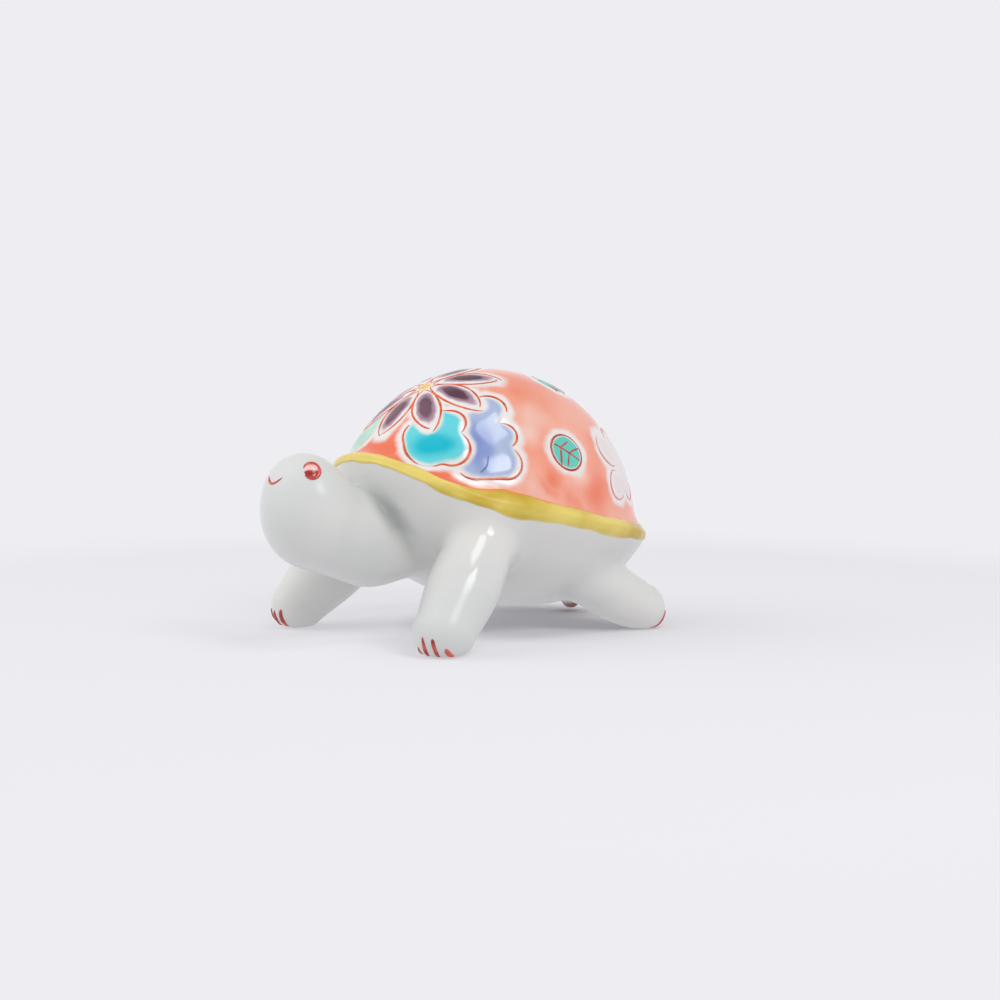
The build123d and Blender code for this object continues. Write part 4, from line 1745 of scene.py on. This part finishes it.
def head_place(azimuth, elevation):
    """A plane that touches the head's egg."""
    return form_place(HEAD_CENTRE, HEAD_HALF, azimuth, elevation)


def seat_on_skin(thing, place):
    """Move laid work from its plain form to the blended skin, at the same height above it."""
    places = mesh_places(thing.data)
    height = ellipsoid_distance(places, *place[:2])
    move_to(thing.data, slide(places, height, SEAT_ROUNDS, np.inf))
    return thing


def paint_eye(tree):
    """A pinkish-white bead with a red shade in its lower half and a salmon one along its upper edge."""
    lower = piece_value(tree, "lower") + waver(tree, *EYE_WAVER)
    pale = lower.ramp(*SALMON_FADE).mix(EYE_SALMON, EYE_PINK)
    return lower.ramp(*RED_FADE).mix(pale, wash(tree, EYE_RED_THIN, EYE_RED_DENSE, EYE_CLOUDS))


def eye_stroke(side, angles, width_share=1.0, height_share=1.0):
    """A stroke round the eye between two angles."""
    turn = np.linspace(*angles)
    x = width_share * side * EYE_HALF_WIDTH * np.cos(turn)
    return list(zip(x, height_share * EYE_HALF_HEIGHT * np.sin(turn)))


eye_enamel = glossy_material("eye_enamel", paint_eye, EYE_WAVINESS)
for hand, side, azimuth in (("left", 1.0, EYE_AZIMUTH), ("right", -1.0, -EYE_AZIMUTH - EYE_SLIP)):
    flat = flat_field("eye", lambda angles: EYE_HALF_WIDTH, EYE_THICKNESS, EYE_HALF_HEIGHT / EYE_HALF_WIDTH)
    set_value(flat, "lower", -mesh_places(flat)[:, 1] / EYE_HALF_HEIGHT)
    place = head_place(azimuth, EYE_ELEVATION)
    bead = lay("enamel_" + hand + "_eye", flat, field_tree, place, Material=eye_enamel)
    pieces[hand + "_eye"] = seat_on_skin(bead, place)
    strokes = [eye_stroke(side, EYE_RING), eye_stroke(side, EYE_CRESCENT, *CRESCENT_SHARES)]
    brush = (FACE_LINE_WIDTH, EYE_LINE_LIFT, EYE_LINE_SEED + side)
    lines[hand + "_eye"] = seat_on_skin(draw(hand + "_eye", strokes, place, claw_red, *brush), place)
share = np.linspace(-1.0, 1.0, 30)
smile = list(zip(MOUTH_HALF_WIDTH * share, MOUTH_DEPTH * (share**2 - 0.5)))
place = head_place(MOUTH_AZIMUTH, MOUTH_ELEVATION)
mouth = draw("mouth", [smile], place, claw_red, FACE_LINE_WIDTH, 0.0, MOUTH_SEED)
pieces["mouth_line"] = seat_on_skin(mouth, place)
print("eyes and mouth drawn")

# %% Claws
CLAW_SPREAD = math.radians(22.0)
CLAW_WIDTH = 1.0
CLAW_LOW = 0.1
CLAW_LENGTH = 4.3
CLAW_BEND = 0.15
CLAW_PIVOT = 0.4
CLAW_SEED = 30.0
FEET = {
    "front_left": (FRONT_FOOT, FRONT_RADII[1], 18.0, (0.45, 1.0, 0.95, 0.5), 0.1),
    "front_right": (mirrored(FRONT_FOOT), FRONT_RADII[1], -25.0, (0.5, 0.95, 0.9, 1.0), 1.4),
    "rear_left": (REAR_FOOT, REAR_RADII[1], 165.0, (0.9, 1.0, 0.95, 0.5), 0.1),
    "rear_right": (mirrored(REAR_FOOT), REAR_RADII[1], -165.0, (0.5, 0.95, 1.0, 0.9), -0.1),
}


def claw_strokes(radius, foot_height, lengths, lean):
    """Upright strokes side by side across a foot."""
    strokes = []
    share = np.linspace(0.0, 1.0, 14)
    for index, length in enumerate(lengths):
        angle = (index - (len(lengths) - 1) / 2) * CLAW_SPREAD
        x = radius * math.sin(angle) + lean * (share - CLAW_PIVOT) + CLAW_BEND * np.sin(2.0 * share + index)
        y = CLAW_LOW + CLAW_LENGTH * length * share - foot_height
        strokes.append(list(zip(x, y)))
    return strokes


for seed, (foot, (centre, radius, middle, lengths, lean)) in enumerate(FEET.items()):
    place = form_place(centre, np.full(3, radius), middle, 0.0)
    name = foot + "_claws"
    strokes = claw_strokes(radius, centre[2], lengths, lean)
    claws = draw(name, strokes, place, claw_red, CLAW_WIDTH, 0.0, CLAW_SEED + seed)
    pieces[name] = seat_on_skin(claws, place)
print("claws on four feet")

# %% [markdown]
# ## Hand the pieces to the frame
#
# Every piece rides on the one body of this figure, and stands for the CAD node that it dresses. The slip
# layers stay as they are: they lie under the glaze, between the castings, and take the porcelain's
# finish.

# %% Ride, replace and glaze the kept nodes
for name, thing in castings.items():
    thing.data.materials.append(tail_glaze if name == "tail" else porcelain)
    pieces[name] = thing
carapace.data.materials.append(coral_glaze)
pieces["carapace"] = carapace
for name, thing in pieces.items():
    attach(thing, "root")
    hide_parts(name)
for thing in lines.values():
    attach(thing, "root")
for name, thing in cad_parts.items():
    if name not in pieces:
        thing.data.materials.clear()
        thing.data.materials.append(porcelain)
print("pieces:", len(pieces), "line sets:", len(lines), "kept nodes:", len(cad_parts) - len(pieces))

# %% [markdown]
# ## Floor, light and camera
#
# The figure stands in a white tent: pale ground that runs into a pale backdrop, soft light from all
# round, and three panels. Two of them, high on the camera's right, draw the bright patches on the glaze;
# the third is a broad pale wall on the left. The camera has the photograph's place and lens.

# %% Floor
BACKDROP = srgb(238, 237, 242)
FLOOR_COLOUR = srgb(224, 223, 228)
FLOOR_GLOW = 0.56
SEEN_GLOW = 0.5
FLOOR_HALF = 3.0
FAR_RADII = (0.10, 0.24)
# Under the belly the floor loses its glow for the camera, so the shadow there is deepened: a painted
# shadow.
SHADOW_MIDDLE = (0.004, 0.022, 0.0)
SHADOW_RADII = (0.018, 0.035)


def mix_shaders(tree, share, first, second, output):
    """End a tree with a mix of two shaders."""
    both = add_node(tree, "ShaderNodeMixShader")
    for socket, source in zip(both.inputs, (share, first.outputs[0], second.outputs[0])):
        feed(tree, socket, source)
    add_node(tree, output, Surface=both.outputs[0])


def make_floor():
    """A wide ground that turns into the backdrop's own colour away from the figure, and carries a painted
    shadow under the belly.
    """
    half = FLOOR_HALF / MM
    corners = [(-half, -half, 0), (half, -half, 0), (half, half, 0), (-half, half, 0)]
    thing = show("floor", new_mesh("floor", corners, [(0, 1, 2, 3)]))
    material = bpy.data.materials.new("pale_ground")
    tree = empty_tree(material)
    ground = add_node(tree, "ShaderNodeBsdfDiffuse", Color=FLOOR_COLOUR)
    glow = add_node(tree, "ShaderNodeEmission", Color=BACKDROP, Strength=1.0)
    far = object_places(tree).measure("LENGTH").ramp(*FAR_RADII)
    clear = object_places(tree).measure("DISTANCE", SHADOW_MIDDLE).ramp(*SHADOW_RADII)
    seen = Wire(tree, tree.nodes.new("ShaderNodeLightPath").outputs["Is Camera Ray"])
    glow_share = seen * (clear * SEEN_GLOW - FLOOR_GLOW) + FLOOR_GLOW
    mix_shaders(tree, far.at_least(glow_share), ground, glow, "ShaderNodeOutputMaterial")
    thing.data.materials.append(material)


make_floor()
print("floor laid")

# %% Light
WORLD_STRENGTH = 0.80
ZENITH_SHARE = 0.42
ZENITH_RANGE = (0.25, 0.95)
LIGHT_TARGET = np.array((0.0, 0.0, 0.03))
PANELS = {
    "window_panel": ((0.58, -0.02, 0.50), (0.26, 0.22), 1.4),
    "sky_panel": ((0.32, 0.08, 0.76), (0.30, 0.26), 1.2),
    "wall_panel": ((-0.47, -0.54, 0.62), (0.90, 0.90), 4.8),
}


def make_world():
    """A tent that is pale round the sides and dimmer overhead; the camera sees the backdrop's colour."""
    world = bpy.data.worlds.new("white_tent")
    bpy.context.scene.world = world
    tree = empty_tree(world)
    upwards = Arrow(tree, tree.nodes.new("ShaderNodeTexCoord").outputs["Generated"]).part("Z")
    level = 1.0 - upwards.ramp(*ZENITH_RANGE) * (1.0 - ZENITH_SHARE)
    light = add_node(tree, "ShaderNodeBackground", Color=(1, 1, 1, 1), Strength=level * WORLD_STRENGTH)
    seen = add_node(tree, "ShaderNodeBackground", Color=BACKDROP, Strength=level)
    rays = tree.nodes.new("ShaderNodeLightPath").outputs
    direct = Wire(tree, rays["Is Camera Ray"]).at_least(rays["Is Transmission Ray"])
    mix_shaders(tree, direct.at_least(rays["Is Glossy Ray"]), light, seen, "ShaderNodeOutputWorld")


def add_panel(name, place, size, power):
    """A rectangular light panel that faces the figure."""
    light = bpy.data.lights.new(name, "AREA")
    light.shape = "RECTANGLE"
    light.size, light.size_y = size
    light.energy = power
    thing = show(name, light)
    thing.location = place
    towards = LIGHT_TARGET - place
    heading = math.atan2(towards[0], -towards[1])
    drop = math.atan2(math.hypot(towards[0], towards[1]), -towards[2])
    thing.rotation_euler = (drop, 0.0, heading + math.pi)


make_world()
for name, panel in PANELS.items():
    add_panel(name, *panel)
bpy.data.objects["wall_panel"].visible_glossy = False
print("panels:", len(PANELS))

# %% Camera
CAMERA_PLACE = (0.3065, -0.25134, 0.0602)
CAMERA_HEADING = math.atan2(0.757, 0.654)
CAMERA_PITCH = math.radians(4.62)
LENS = 66.35


def make_camera():
    """The photograph's camera."""
    camera = bpy.data.cameras.new("camera")
    camera.lens = LENS
    camera.sensor_width = 36.0
    camera.clip_start = 0.01
    thing = show("camera", camera)
    thing.location = CAMERA_PLACE
    thing.rotation_euler = (math.pi / 2 - CAMERA_PITCH, 0.0, CAMERA_HEADING)
    bpy.context.scene.camera = thing
    bpy.context.scene.view_settings.view_transform = "Standard"


make_camera()
print("camera placed")
